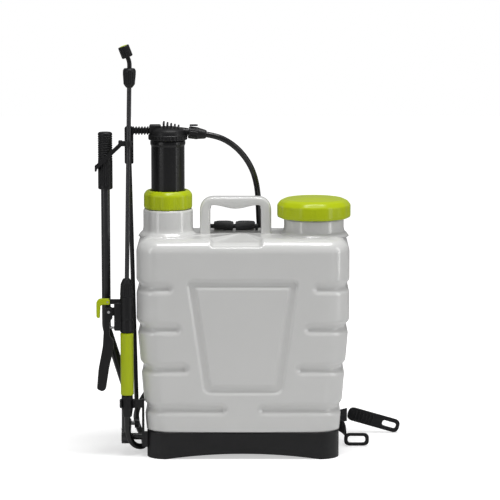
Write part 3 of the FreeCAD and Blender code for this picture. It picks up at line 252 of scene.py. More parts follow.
def lathe(name: str, outline: Array, place: Matrix, steps: int = 96,
          ripple: Ripple | None = None) -> bpy.types.Object:
    """Turn an outline of (radius, height) about Z and carry it to its place.

    A point is (r cos a, r sin a, z). An outline that starts and ends at one point makes a
    ring with a hole.

    Args:
        name: The piece's name.
        outline: Points of (radius, height) in metres.
        place: Where the turned piece's own frame goes.
        steps: Number of columns in a full turn.
        ripple: Gives each point's radius from its angle, radius and height.

    Returns:
        The mesh object.
    """
    outline = np.asarray(outline, float)
    ring = bool(np.allclose(outline[0], outline[-1]))
    if ring:
        outline = outline[:-1]
    angle = np.linspace(0.0, TAU, steps, endpoint=False)[None, :]
    radius = np.repeat(outline[:, :1], steps, axis=1)
    height = np.repeat(outline[:, 1:2], steps, axis=1)
    if ripple is not None:
        radius = ripple(np.repeat(angle, len(outline), axis=0), radius, height)
    points = np.stack([radius * np.cos(angle), radius * np.sin(angle), height], axis=-1)
    points = points @ np.array(place.to_3x3()).T + np.array(place.translation)
    return skin(name, points, along=ring)


def super_ring(half_x: float, half_y: float, power: float, steps: int) -> Array:
    """A rounded rectangle, |x/a|^p + |y/b|^p = 1, as (x, y) points.

    Args:
        half_x: Half the width, a.
        half_y: Half the depth, b.
        power: The exponent p: 2 is an ellipse and more is squarer.
        steps: Number of points.

    Returns:
        The outline's points.
    """
    angle = np.linspace(0.0, TAU, steps, endpoint=False)
    cosine, sine = np.cos(angle), np.sin(angle)
    return np.stack([half_x * np.sign(cosine) * np.abs(cosine) ** (2 / power),
                     half_y * np.sign(sine) * np.abs(sine) ** (2 / power)], axis=1)


def plate(name: str, outlines: Sequence[Array], thickness: float, bevel: float,
          place: Matrix) -> bpy.types.Object:
    """A flat piece of even thickness with rounded rims and any holes.

    Args:
        name: The piece's name.
        outlines: The outer outline, then each hole's, as (x, y) points.
        thickness: Full thickness along the plate's own Z.
        bevel: Radius of the rim's rounding.
        place: Where the plate's own frame goes.

    Returns:
        A mesh object with its place in its vertices.
    """
    curve = bpy.data.curves.new(name + "_outline", "CURVE")
    curve.dimensions = "2D"
    curve.fill_mode = "BOTH"
    curve.extrude = thickness / 2.0 - bevel
    curve.bevel_depth = bevel
    curve.bevel_resolution = 3
    curve.offset = -bevel
    for outline in outlines:
        spline = curve.splines.new("POLY")
        spline.points.add(len(outline) - 1)
        flat = np.zeros((len(outline), 4), np.float32)
        flat[:, :2], flat[:, 3] = outline, 1.0
        spline.points.foreach_set("co", flat.ravel())
        spline.use_cyclic_u = True
    mesh = mesh_of_curve(curve)
    work = bmesh.new()
    work.from_mesh(mesh)
    bmesh.ops.remove_doubles(work, verts=work.verts, dist=1e-6)
    bmesh.ops.recalc_face_normals(work, faces=work.faces)
    bmesh.ops.transform(work, matrix=place, verts=work.verts)
    work.to_mesh(mesh)
    work.free()
    mesh.name = name
    mesh.shade_smooth()
    mesh.set_sharp_from_angle(angle=math.radians(40.0))
    return linked(name, mesh)


def at(x: float, y: float, z: float, turn: Matrix | None = None) -> Matrix:
    """A place: a turn about the origin followed by a shift."""
    return Matrix.Translation((x, y, z)) @ (turn or Matrix.Identity(4))


def tilt(degrees: float, axis: str = "Y") -> Matrix:
    """A turn about one of the frame's axes."""
    return Matrix.Rotation(math.radians(degrees), 4, axis)


def block(name: str, low: Sequence[float], high: Sequence[float], radius: float,
          place: Matrix | None = None) -> bpy.types.Object:
    """Make a box with rounded edges.

    Args:
        name: The piece's name.
        low: Its lowest corner.
        high: Its highest corner.
        radius: Radius of the edges.
        place: Where the box's own frame goes, if not where it is.

    Returns:
        The mesh object.
    """
    work = bmesh.new()
    bmesh.ops.create_cube(work, size=1.0)
    span = Vector(high) - Vector(low)
    bmesh.ops.scale(work, vec=span, verts=work.verts)
    bmesh.ops.translate(work, vec=(Vector(high) + Vector(low)) / 2.0, verts=work.verts)
    bmesh.ops.bevel(work, geom=work.edges, offset=radius, segments=4, profile=0.5,
                    affect="EDGES", clamp_overlap=True)
    if place is not None:
        bmesh.ops.transform(work, matrix=place, verts=work.verts)
    mesh = bpy.data.meshes.new(name)
    work.to_mesh(mesh)
    work.free()
    mesh.shade_smooth()
    mesh.set_sharp_from_angle(angle=math.radians(50.0))
    return linked(name, mesh)


def ribbed_turn(name: str, outline: Sequence[tuple[float, float]], place: Matrix, ribs: int,
                depth: float, low: float, high: float, fine: int = 24) -> bpy.types.Object:
    """Make a lathe piece with upright grip ribs between two heights.

    Args:
        name: The piece's name.
        outline: Points of (radius, height) in millimetres.
        place: Where the piece's own frame goes.
        ribs: Number of ribs in a full turn.
        depth: Depth of the valleys between the ribs, in millimetres.
        low: Lower end of the ribs, in millimetres.
        high: Upper end of the ribs, in millimetres.
        fine: Number of points on each tall span of the outline.

    Returns:
        The mesh object.
    """
    dense = filled(soften(np.asarray(outline, float) * MM, 0.9 * MM, 3), fine, 4 * MM)
    outer = dense[:, 0].max()

    def ripple(angle: Array, radius: Array, height: Array) -> Array:
        """Sink narrow valleys between the ribs, on the outer skin alone."""
        band = smooth_step(low * MM, (low + 1.0) * MM, height) * (
            1.0 - smooth_step((high - 1.0) * MM, high * MM, height))
        valley = smooth_step(0.2, 0.9, np.cos(angle * ribs))
        return radius - depth * MM * valley * band * smooth_step(0.55 * outer, 0.75 * outer, radius)

    return lathe(name, dense, place, max(96, ribs * 8), ripple)


FRONT = Matrix(((1, 0, 0, 0), (0, 0, -1, 0), (0, 1, 0, 0), (0, 0, 0, 1)))


# ------------------------------------------------------------------ shader groups

class Graph:
    """A small helper that adds and joins shader nodes."""

    def __init__(self, tree: bpy.types.NodeTree) -> None:
        """Keep the tree to work on."""
        self.tree = tree

    def add(self, kind: str, **settings: object) -> bpy.types.Node:
        """Add a node, set its properties and, by socket name or number, its inputs."""
        node = self.tree.nodes.new(kind)
        for key, value in settings.items():
            if key == "inputs":
                for socket, number in value.items():
                    node.inputs[socket].default_value = number
            else:
                setattr(node, key, value)
        return node

    def join(self, source: bpy.types.NodeSocket, target: bpy.types.NodeSocket) -> None:
        """Link one socket to another."""
        self.tree.links.new(source, target)

    def blend(self, share: bpy.types.NodeSocket, low: object, high: object) -> bpy.types.NodeSocket:
        """Mix two numbers by a share.

        Args:
            share: 0 gives the low value and 1 the high one.
            low: A number or a socket.
            high: A number or a socket.

        Returns:
            The result's socket.
        """
        node = self.add("ShaderNodeMapRange")
        self.join(share, node.inputs["Value"])
        for socket, value in (("To Min", low), ("To Max", high)):
            if isinstance(value, bpy.types.NodeSocket):
                self.join(value, node.inputs[socket])
            else:
                node.inputs[socket].default_value = value
        return node.outputs["Result"]


def new_group(name: str, inputs: dict[str, float], outputs: Sequence[str]) -> tuple:
    """Start a shader node group with named number sockets.

    Args:
        name: The group's name.
        inputs: The inputs' names and first values.
        outputs: The outputs' names.

    Returns:
        The group, its graph, its input node and its output node.
    """
    group = bpy.data.node_groups.new(name, "ShaderNodeTree")
    for label, value in inputs.items():
        socket = group.interface.new_socket(label, in_out="INPUT", socket_type="NodeSocketFloat")
        socket.default_value = value
    for label in outputs:
        group.interface.new_socket(label, in_out="OUTPUT", socket_type="NodeSocketFloat")
    graph = Graph(group)
    return group, graph, graph.add("NodeGroupInput"), graph.add("NodeGroupOutput")


def noise(graph: Graph, coordinates: bpy.types.NodeSocket, scale: object,
          detail: float = 4.0, roughness: float = 0.55) -> bpy.types.NodeSocket:
    """Add a noise texture.

    Args:
        graph: The nodes to add it to.
        coordinates: Where the noise is read.
        scale: Its scale, a number or a socket.
        detail: Number of finer layers.
        roughness: Strength of the finer layers.

    Returns:
        The socket of its value.
    """
    node = graph.add("ShaderNodeTexNoise", inputs={"Detail": detail, "Roughness": roughness})
    graph.join(coordinates, node.inputs["Vector"])
    if isinstance(scale, bpy.types.NodeSocket):
        graph.join(scale, node.inputs["Scale"])
    else:
        node.inputs["Scale"].default_value = scale
    return node.outputs["Fac"]


def moulded_skin_group() -> bpy.types.NodeTree:
    """Moulded plastic's skin: spark-eroded grain, slow mottling and rubbed edges."""
    group, graph, into, out = new_group(
        "moulded_skin", {"Grain Scale": 900.0, "Mottle Scale": 9.0, "Wear": 0.5},
        ("Grain", "Mottle", "Edge", "Dust"))
    where = graph.add("ShaderNodeTexCoord").outputs["Object"]
    graph.join(noise(graph, where, into.outputs["Grain Scale"], 2.0), out.inputs["Grain"])
    graph.join(noise(graph, where, into.outputs["Mottle Scale"], 5.0, 0.6), out.inputs["Mottle"])
    geometry = graph.add("ShaderNodeNewGeometry")
    rim = graph.add("ShaderNodeMapRange", inputs={"From Min": 0.53, "From Max": 0.66})
    graph.join(geometry.outputs["Pointiness"], rim.inputs["Value"])
    patch = noise(graph, where, 60.0, 6.0, 0.7)
    broken = graph.add("ShaderNodeMath", operation="MULTIPLY")
    graph.join(rim.outputs["Result"], broken.inputs[0])
    graph.join(patch, broken.inputs[1])
    worn = graph.add("ShaderNodeMath", operation="MULTIPLY")
    graph.join(broken.outputs[0], worn.inputs[0])
    graph.join(into.outputs["Wear"], worn.inputs[1])
    graph.join(worn.outputs[0], out.inputs["Edge"])
    split = graph.add("ShaderNodeSeparateXYZ")
    graph.join(geometry.outputs["Normal"], split.inputs[0])
    upward = graph.add("ShaderNodeMapRange", inputs={"From Min": 0.35, "From Max": 1.0})
    graph.join(split.outputs["Z"], upward.inputs["Value"])
    speck = graph.add("ShaderNodeMapRange", inputs={"From Min": 0.45, "From Max": 0.75})
    graph.join(noise(graph, where, 140.0, 8.0, 0.75), speck.inputs["Value"])
    dust = graph.add("ShaderNodeMath", operation="MULTIPLY")
    graph.join(upward.outputs["Result"], dust.inputs[0])
    graph.join(speck.outputs["Result"], dust.inputs[1])
    graph.join(dust.outputs[0], out.inputs["Dust"])
    return group


def weave_group() -> bpy.types.NodeTree:
    """Woven strap: two crossed waves on flat coordinates in metres."""
    group, graph, into, out = new_group("strap_weave", {"Threads": 900.0}, ("Height", "Thread"))
    group.interface.new_socket("Where", in_out="INPUT", socket_type="NodeSocketVector")
    split = graph.add("ShaderNodeSeparateXYZ")
    graph.join(into.outputs["Where"], split.inputs[0])
    waves = []
    for axis, factor in (("X", 1.0), ("Y", 0.62)):
        turn = graph.add("ShaderNodeMath", operation="MULTIPLY")
        graph.join(split.outputs[axis], turn.inputs[0])
        rate = graph.add("ShaderNodeMath", operation="MULTIPLY", inputs={1: factor * TAU})
        graph.join(into.outputs["Threads"], rate.inputs[0])
        graph.join(rate.outputs[0], turn.inputs[1])
        wave = graph.add("ShaderNodeMath", operation="SINE")
        graph.join(turn.outputs[0], wave.inputs[0])
        waves.append(wave.outputs[0])
    cross = graph.add("ShaderNodeMath", operation="MULTIPLY")
    graph.join(waves[0], cross.inputs[0])
    graph.join(waves[1], cross.inputs[1])
    height = graph.add("ShaderNodeMapRange", inputs={"From Min": -1.0, "From Max": 1.0})
    graph.join(cross.outputs[0], height.inputs["Value"])
    graph.join(height.outputs["Result"], out.inputs["Height"])
    where = graph.add("ShaderNodeTexCoord").outputs["Object"]
    graph.join(noise(graph, where, 260.0, 3.0), out.inputs["Thread"])
    return group


# ------------------------------------------------------------------ finishes

class Sheen(Enum):
    """How a moulded surface takes the light."""

    SATIN = 0.42
    SEMI_GLOSS = 0.30
    GLOSS = 0.20
    MATT = 0.62


@dataclass(frozen=True)
class Finish:
    """A moulded, painted or rubber finish.

    Attributes:
        name: The material's name.
        slot: The record's material slot.
        colour: Main colour.
        worn: Colour of rubbed edges.
        sheen: Base roughness.
        spread: How far roughness wanders with the mottling.
        grain_scale: Grain frequency, per metre.
        grain_depth: Height of the grain, in metres.
        mottle: How far the colour wanders, from 0 to 1.
        wear: Strength of the rubbed edges.
        dust: Strength of dust on upward faces.
        metal: Metallic value.
        coat: Clear coat weight.
        scatter: Subsurface weight.
        specular: Strength of the plain reflection, where 0.5 is common plastic.
    """

    name: str
    slot: str
    colour: tuple[float, float, float]
    worn: tuple[float, float, float]
    sheen: Sheen = Sheen.SATIN
    spread: float = 0.12
    grain_scale: float = 900.0
    grain_depth: float = 0.00003
    mottle: float = 0.2
    wear: float = 0.5
    dust: float = 0.05
    metal: float = 0.0
    coat: float = 0.0
    scatter: float = 0.0
    specular: float = 0.5

    def material(self) -> bpy.types.Material:
        """Build the material, or return it if it is already there."""
        if self.name in bpy.data.materials:
            return bpy.data.materials[self.name]
        material = bpy.data.materials.new(self.name)
        material.use_nodes = True
        graph = Graph(material.node_tree)
        shader = material.node_tree.nodes["Principled BSDF"]
        effect = graph.add("ShaderNodeGroup", node_tree=shared_group("moulded_skin"))
        effect.inputs["Grain Scale"].default_value = self.grain_scale
        effect.inputs["Wear"].default_value = self.wear
        colour = self.mixed(graph, effect.outputs["Mottle"], self.colour,
                            tuple(c * (1.0 - self.mottle) for c in self.colour))
        colour = self.mixed(graph, effect.outputs["Edge"], colour, self.worn)
        dust = graph.add("ShaderNodeMath", operation="MULTIPLY", inputs={1: self.dust})
        graph.join(effect.outputs["Dust"], dust.inputs[0])
        colour = self.mixed(graph, dust.outputs[0], colour, (0.55, 0.53, 0.49))
        graph.join(colour, shader.inputs["Base Color"])
        level = self.sheen.value
        graph.join(graph.blend(effect.outputs["Mottle"], level - self.spread / 2,
                               level + self.spread / 2), shader.inputs["Roughness"])
        bump = graph.add("ShaderNodeBump", inputs={"Distance": self.grain_depth, "Strength": 1.0})
        graph.join(effect.outputs["Grain"], bump.inputs["Height"])
        graph.join(bump.outputs["Normal"], shader.inputs["Normal"])
        shader.inputs["Metallic"].default_value = self.metal
        shader.inputs["Specular IOR Level"].default_value = self.specular
        shader.inputs["Coat Weight"].default_value = self.coat
        shader.inputs["Coat Roughness"].default_value = 0.12
        if self.scatter > 0.0:
            shader.inputs["Subsurface Weight"].default_value = self.scatter
            shader.inputs["Subsurface Radius"].default_value = (0.006, 0.006, 0.006)
        return material

    @staticmethod
    def mixed(graph: Graph, share: bpy.types.NodeSocket, low: object,
              high: object) -> bpy.types.NodeSocket:
        """Mix two colours, given as sockets or as triples, by a share."""
        node = graph.add("ShaderNodeMix", data_type="RGBA")
        graph.join(share, node.inputs[0])
        for number, value in ((6, low), (7, high)):
            if isinstance(value, bpy.types.NodeSocket):
                graph.join(value, node.inputs[number])
            else:
                node.inputs[number].default_value = (*value, 1.0)
        return node.outputs[2]


@dataclass(frozen=True)
class Webbing:
    """Woven polypropylene, on a UV map in metres or on the piece's own coordinates."""

    name: str = "woven_strap"
    slot: str = "webbing"
    colour: tuple[float, float, float] = (0.008, 0.008, 0.009)
    light_thread: tuple[float, float, float] = (0.035, 0.035, 0.038)
    threads: float = 420.0
    on_uv: bool = True

    def material(self) -> bpy.types.Material:
        """Build the material, or return it if it is already there."""
        if self.name in bpy.data.materials:
            return bpy.data.materials[self.name]
        material = bpy.data.materials.new(self.name)
        material.use_nodes = True
        graph = Graph(material.node_tree)
        shader = material.node_tree.nodes["Principled BSDF"]
        weave = graph.add("ShaderNodeGroup", node_tree=shared_group("strap_weave"))
        weave.inputs["Threads"].default_value = self.threads
        if self.on_uv:
            graph.join(graph.add("ShaderNodeUVMap").outputs["UV"], weave.inputs["Where"])
        else:
            spread = graph.add("ShaderNodeMapping", inputs={"Rotation": (0.6, 0.8, 0.3)})
            graph.join(graph.add("ShaderNodeTexCoord").outputs["Object"], spread.inputs[0])
            graph.join(spread.outputs[0], weave.inputs["Where"])
        colour = Finish.mixed(graph, weave.outputs["Height"], self.colour, self.light_thread)
        colour = Finish.mixed(graph, weave.outputs["Thread"], colour, self.colour)
        graph.join(colour, shader.inputs["Base Color"])
        graph.join(graph.blend(weave.outputs["Thread"], 0.65, 0.9), shader.inputs["Roughness"])
        bump = graph.add("ShaderNodeBump", inputs={"Distance": 0.0004, "Strength": 0.9})
        graph.join(weave.outputs["Height"], bump.inputs["Height"])
        graph.join(bump.outputs["Normal"], shader.inputs["Normal"])
        shader.inputs["Sheen Weight"].default_value = 0.12
        return material


GROUP_MAKERS = {"moulded_skin": moulded_skin_group, "strap_weave": weave_group}


def shared_group(name: str) -> bpy.types.NodeTree:
    """A shader group, built the first time that it is asked for."""
    return bpy.data.node_groups.get(name) or GROUP_MAKERS[name]()


TANK_WHITE = Finish("natural_hdpe", "tank_plastic", (0.69, 0.69, 0.68), (0.80, 0.80, 0.79),
                    Sheen.SEMI_GLOSS, 0.10, 420.0, 0.00003, 0.05, 0.3, 0.03, coat=0.7,
                    scatter=0.10)
LIME = Finish("lime_plastic_moulded", "lime_plastic", (0.47, 0.575, 0.002), (0.62, 0.72, 0.02),
              Sheen.SEMI_GLOSS, 0.12, 700.0, 0.00004, 0.12, 0.8, 0.02, specular=0.35)
BLACK = Finish("black_plastic_moulded", "black_plastic", (0.0065, 0.0065, 0.0075),
               (0.030, 0.030, 0.032), Sheen.SATIN, 0.14, 1000.0, 0.00004, 0.3, 0.8, 0.012,
               specular=0.32)
BLACK_SMOOTH = Finish("black_plastic_smooth", "black_plastic", (0.0055, 0.0055, 0.0065),
                      (0.026, 0.026, 0.028), Sheen.SEMI_GLOSS, 0.10, 500.0, 0.00002, 0.2, 0.7,
                      0.01, specular=0.4)
PAINTED_TUBE = Finish("black_painted_tube", "painted_tube", (0.006, 0.006, 0.007),
                      (0.10, 0.10, 0.11), Sheen.SEMI_GLOSS, 0.12, 1400.0, 0.00002, 0.2, 0.6,
                      0.01, coat=0.15, specular=0.4)
STEEL = Finish("zinc_steel", "steel", (0.55, 0.55, 0.56), (0.75, 0.75, 0.76), Sheen.SATIN, 0.2,
               2200.0, 0.00002, 0.25, 0.6, 0.05, metal=1.0)
BEARING = Finish("acetal", "bearing_plastic", (0.70, 0.69, 0.65), (0.8, 0.79, 0.75),
                 Sheen.SATIN, 0.1, 800.0, 0.00002, 0.08, 0.3, 0.03)
SEAL = Finish("seal_rubber_black", "seal_rubber", (0.02, 0.02, 0.02), (0.06, 0.06, 0.06),
              Sheen.MATT, 0.1, 600.0, 0.00003, 0.3, 0.6, 0.05)
HOSE_BLACK = Finish("hose_pvc_black", "hose_rubber", (0.006, 0.006, 0.007), (0.03, 0.03, 0.03),
                    Sheen.SEMI_GLOSS, 0.10, 350.0, 0.00004, 0.2, 0.2, 0.01, coat=0.1,
                    specular=0.4)
CHROME = Finish("valve_ball_chrome", "chrome_ball", (0.75, 0.75, 0.76), (0.85, 0.85, 0.86),
                Sheen.GLOSS, 0.05, 2000.0, 0.000005, 0.05, 0.2, 0.0, metal=1.0)
STRAP = Webbing()
PAD_CLOTH = Webbing("padded_cloth", "webbing", (0.010, 0.010, 0.011), (0.034, 0.034, 0.037), 620.0,
                    on_uv=False)

SLOT_FINISH = {finish.slot: finish for finish in
               (TANK_WHITE, LIME, BLACK, PAINTED_TUBE, STEEL, BEARING, SEAL, HOSE_BLACK, CHROME,
                STRAP)}


def dress(thing: bpy.types.Object, finish: Finish | Webbing) -> None:
    """Give an object one finish on its own mesh."""
    thing.data.materials.clear()
    thing.data.materials.append(finish.material())


@dataclass
class Workshop:
    """Places finished pieces on the frame's bodies.

    Attributes:
        made: Names of the pieces placed so far.
    """

    frame: dict
    made: list[str] = field(default_factory=list)

    def place(self, thing: bpy.types.Object, body: str, finish: Finish | Webbing,
              *nodes: str) -> bpy.types.Object:
        """Dress a piece, let it ride on a body and stand for any CAD nodes.

        Args:
            thing: The piece.
            body: The body that it rides on.
            finish: Its finish.
            nodes: The CAD nodes that it stands for.

        Returns:
            The same piece.
        """
        dress(thing, finish)
        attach(thing, body)
        if nodes:
            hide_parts(*nodes)
        self.made.append(thing.name)
        LOG.info("%s rides on %s", thing.name, body)
        return thing

    def dress_nodes(self) -> None:
        """Give every carried-over node the finish of its material slot."""
        slots = {part["node"]: part["material_slot"] for part in self.frame["record"]["subparts"]}
        for node, thing in self.frame["nodes"].items():
            dress(thing, SLOT_FINISH[slots[node]])


# ------------------------------------------------------------------ tank

@dataclass
class Tank:
    """The blow-moulded tank: shell, two necks and the carry handle."""

    width: float = 380 * MM
    foot_width: float = 346 * MM
    depth: float = 180 * MM
    corner: float = 40 * MM
    foot: float = 49 * MM
    waist: float = 250 * MM
    top: float = 396 * MM
    shoulder: float = 26 * MM
    crown: float = 3 * MM
    groove_depth: float = 7 * MM
    groove_reach: float = 14 * MM
    groove_first: float = 90 * MM
    groove_pitch: float = 73 * MM
    groove_ends: tuple[float, ...] = (29 * MM, 97 * MM, 111 * MM, 125 * MM)
    panel_low: float = 118 * MM
    panel_high: float = 324 * MM
    panel_low_half: float = 70 * MM
    panel_high_half: float = 100 * MM
    panel_corner: float = 12 * MM
    moat: float = 14 * MM
    moat_depth: float = 4.5 * MM
    pocket_middle: float = -11.5 * MM
    pocket_half: float = 40 * MM
    pocket_foot: float = 382 * MM
    pocket_depth: float = 7 * MM
    neck_wall: float = 5 * MM
    handle_left: float = -68 * MM
    handle_right: float = 41.5 * MM
    handle_foot: float = 384 * MM
    handle_top: float = 453.5 * MM
    handle_bend: float = 17 * MM
    handle_half: float = 9.5 * MM
    handle_half_deep: float = 13 * MM
    finger_wave: float = 3.4 * MM
    neck_spots: tuple[tuple[str, float, float, float], ...] = (
        ("tank_pump_neck", -134.5 * MM, 44.5 * MM, 441 * MM),
        ("tank_filler_neck", 127.3 * MM, 53.75 * MM, 425 * MM))

    def half_width(self, height: Array) -> Array:
        """Half the width at a height: a straight taper up to the waist."""
        share = np.clip((height - self.foot) / (self.waist - self.foot), 0.0, 1.0)
        return (self.foot_width + (self.width - self.foot_width) * share) / 2.0

    def plan(self) -> tuple[Array, Array, Array, Array]:
        """One turn round a rounded rectangle, from the middle of the front.

        Returns:
            For each column the signs and shares of the straight parts, (across, along), and
            the outward direction, (out_x, out_y), so that a point is
            across * (a - c) + out_x * c, along * (b - c) + out_y * c.
        """
        straight_front = np.linspace(-1.0, 1.0, 150)
        straight_side = np.linspace(-1.0, 1.0, 46)
        quarter = np.linspace(0.0, math.pi / 2.0, 18)[1:-1]
        one = np.ones_like
        parts = [
            (straight_front, -one(straight_front), 0 * straight_front, -one(straight_front)),
            (one(quarter), -one(quarter), np.sin(quarter), -np.cos(quarter)),
            (one(straight_side), straight_side, one(straight_side), 0 * straight_side),
            (one(quarter), one(quarter), np.cos(quarter), np.sin(quarter)),
            (-straight_front, one(straight_front), 0 * straight_front, one(straight_front)),
            (-one(quarter), one(quarter), -np.sin(quarter), np.cos(quarter)),
            (-one(straight_side), -straight_side, -one(straight_side), 0 * straight_side),
            (-one(quarter), -one(quarter), -np.cos(quarter), -np.sin(quarter)),
        ]
        return tuple(np.concatenate(group) for group in zip(*parts))

    def groove_sink(self, x: Array, height: Array) -> Array:
        """How far the side grooves sink the skin at |x| and a height.

        Each groove's depth is a raised cosine of the distance to a level line that ends at a
        set distance from the middle of the front.

        Args:
            x: Places across the tank.
            height: Their heights.

        Returns:
            The depth at each place.
        """
        sink = np.zeros_like(x)
        for number, end in enumerate(self.groove_ends):
            level = self.groove_first + number * self.groove_pitch
            gap = np.hypot(height - level, np.maximum(0.0, end + 8 * MM - np.abs(x)))
            share = np.clip(gap / self.groove_reach, 0.0, 1.0)
            sink = np.maximum(sink, self.groove_depth * (0.5 + 0.5 * np.cos(math.pi * share)) ** 1.3)
        return sink

    def panel_sink(self, x: Array, height: Array) -> Array:
        """How far the panel's moat sinks the front.

        The distance to a trapezoid with rounded corners is worked out as for a rounded box
        whose half-width grows with height, and the moat lies between two such outlines.

        Args:
            x: Places across the tank.
            height: Their heights.

        Returns:
            The depth at each place.
        """
        middle = (self.panel_low + self.panel_high) / 2.0
        half_tall = (self.panel_high - self.panel_low) / 2.0
        share = (height - self.panel_low) / (self.panel_high - self.panel_low)
        half_wide = self.panel_low_half + (self.panel_high_half - self.panel_low_half) * share
        out_x = np.abs(x) - half_wide + self.panel_corner
        out_z = np.abs(height - middle) - half_tall + self.panel_corner
        outside = np.hypot(np.maximum(out_x, 0.0), np.maximum(out_z, 0.0))
        gap = outside + np.minimum(np.maximum(out_x, out_z), 0.0) - self.panel_corner
        sunk = 1.0 - smooth_step(-3.5 * MM, 1.5 * MM, gap)
        island = 1.0 - smooth_step(-self.moat - 3.0 * MM, -self.moat + 2.0 * MM, gap)
        return self.moat_depth * sunk - (self.moat_depth - 0.6 * MM) * island

    def hand_pocket(self, x: Array, height: Array) -> Array:
        """How far the hollow in front of the handle sinks the shoulder."""
        across = 1.0 - smooth_step(self.pocket_half, self.pocket_half + 8 * MM,
                                   np.abs(x - self.pocket_middle))
        upward = smooth_step(self.pocket_foot, self.pocket_foot + 6 * MM, height)
        return self.pocket_depth * across * upward

    def shell(self) -> bpy.types.Object:
        """The closed skin: a rounded rectangle carried up, rounded over and closed on top."""
        across, along, out_x, out_y = (part[None, :] for part in self.plan())
        body_rows = np.linspace(self.foot + 0.5 * MM, self.top - self.shoulder, 138)
        arc = np.linspace(0.0, math.pi / 2.0, 16)[1:]
        shoulder_rows = self.top - self.shoulder + self.shoulder * np.sin(arc)
        height = np.concatenate([body_rows, shoulder_rows])[:, None]
        slope = np.concatenate([np.zeros(len(body_rows)), arc])[:, None]
        inset = self.shoulder * (1.0 - np.cos(slope))
        half_x = self.half_width(height) - inset
        half_y = self.depth / 2.0 - inset
        bend = np.maximum(self.corner - inset, 8 * MM)
        x = across * (half_x - bend) + out_x * bend
        y = along * (half_y - bend) + out_y * bend
        bow = self.crown * (x / self.half_width(height)) ** 2 * np.abs(out_y)
        is_front = (out_y < -0.5).astype(float)
        sink = self.groove_sink(x, height) * np.cos(slope) + bow
        sink = sink + is_front * (self.panel_sink(x, height) + self.hand_pocket(x, height))
        x = x - sink * out_x * np.cos(slope)
        y = y - sink * out_y * np.cos(slope)
        z = height - sink * np.sin(slope) * is_front + 0.0 * x
        points = np.stack([x, y, z], axis=-1)
        middle = np.array([0.0, 0.0, self.top + 0.6 * MM])
        shrink = np.linspace(0.0, 1.0, 12)[1:, None, None] ** 0.8
        roof = points[-1:] * (1.0 - shrink) + middle * shrink
        floor_ring = points[:1] * 0.5
        floor_ring[..., 2] = self.foot + 0.5 * MM
        floor_middle = np.zeros_like(floor_ring)
        floor_middle[..., 2] = self.foot + 0.5 * MM
        stack = np.concatenate([floor_middle, floor_ring, points, roof])
        return put_mesh("tank_shell", stack.reshape(-1, 3), grid_faces(*stack.shape[:2]))

    def neck(self, name: str, x: float, radius: float, top: float) -> bpy.types.Object:
        """Make a neck that flares into the roof and ends in a rounded rim.

        Args:
            name: The piece's name.
            x: Where its axis stands.
            radius: Its outer radius.
            top: The height of its rim.

        Returns:
            The mesh object.
        """
        low, bore = self.top - 4 * MM, radius - self.neck_wall
        outline = [(radius + 9 * MM, low), (radius + 5.5 * MM, low + 5.5 * MM),
                   (radius + 1.2 * MM, low + 9 * MM), (radius, low + 15 * MM),
                   (radius, top - 3 * MM), (radius - 1.5 * MM, top - 0.4 * MM),
                   (bore, top - 0.2 * MM), (bore, low),
                   (radius + 9 * MM, low)]
        return lathe(name, soften(outline, 2.5 * MM, 4), at(x, 0, 0), 120)

    def handle(self) -> bpy.types.Object:
        """The carry loop: a rounded bar bent over, with a waved finger side."""
        left, right, low, high = (self.handle_left, self.handle_right, self.handle_foot,
                                  self.handle_top)
        path = even(soften([(left, 0, low), (left, 0, high), (right, 0, high), (right, 0, low)],
                           self.handle_bend, 12), 160)
        section = super_ring(self.handle_half, self.handle_half_deep, 4.0, 40)
        middle = (left + right) / 2.0
        on_bar = smooth_step(high - 6 * MM, high, path[:, 2])
        wave = self.finger_wave * np.cos((path[:, 0] - middle) / (right - left) * 2.6 * math.pi) * on_bar
        tangent = unit(np.gradient(path, axis=0))
        inward = np.cross(tangent, (0.0, 1.0, 0.0))
        outline = section[None, :, :]
        grow = 1.0 + (wave[:, None] / self.handle_half) * (outline[..., 0] < 0)
        across = outline[..., 0] * grow
        points = (path[:, None, :] + across[..., None] * inward[:, None, :]
                  + outline[..., 1][..., None] * np.array([0.0, 1.0, 0.0]))
        return skin("tank_handle", points)

    def build(self, shop: Workshop) -> None:
        """Make and place the tank's pieces."""
        shop.place(self.shell(), "root", TANK_WHITE, "tank")
        for spot in self.neck_spots:
            shop.place(self.neck(*spot), "root", TANK_WHITE, "tank")
        shop.place(self.handle(), "root", TANK_WHITE, "tank")


# ------------------------------------------------------------------ lime caps

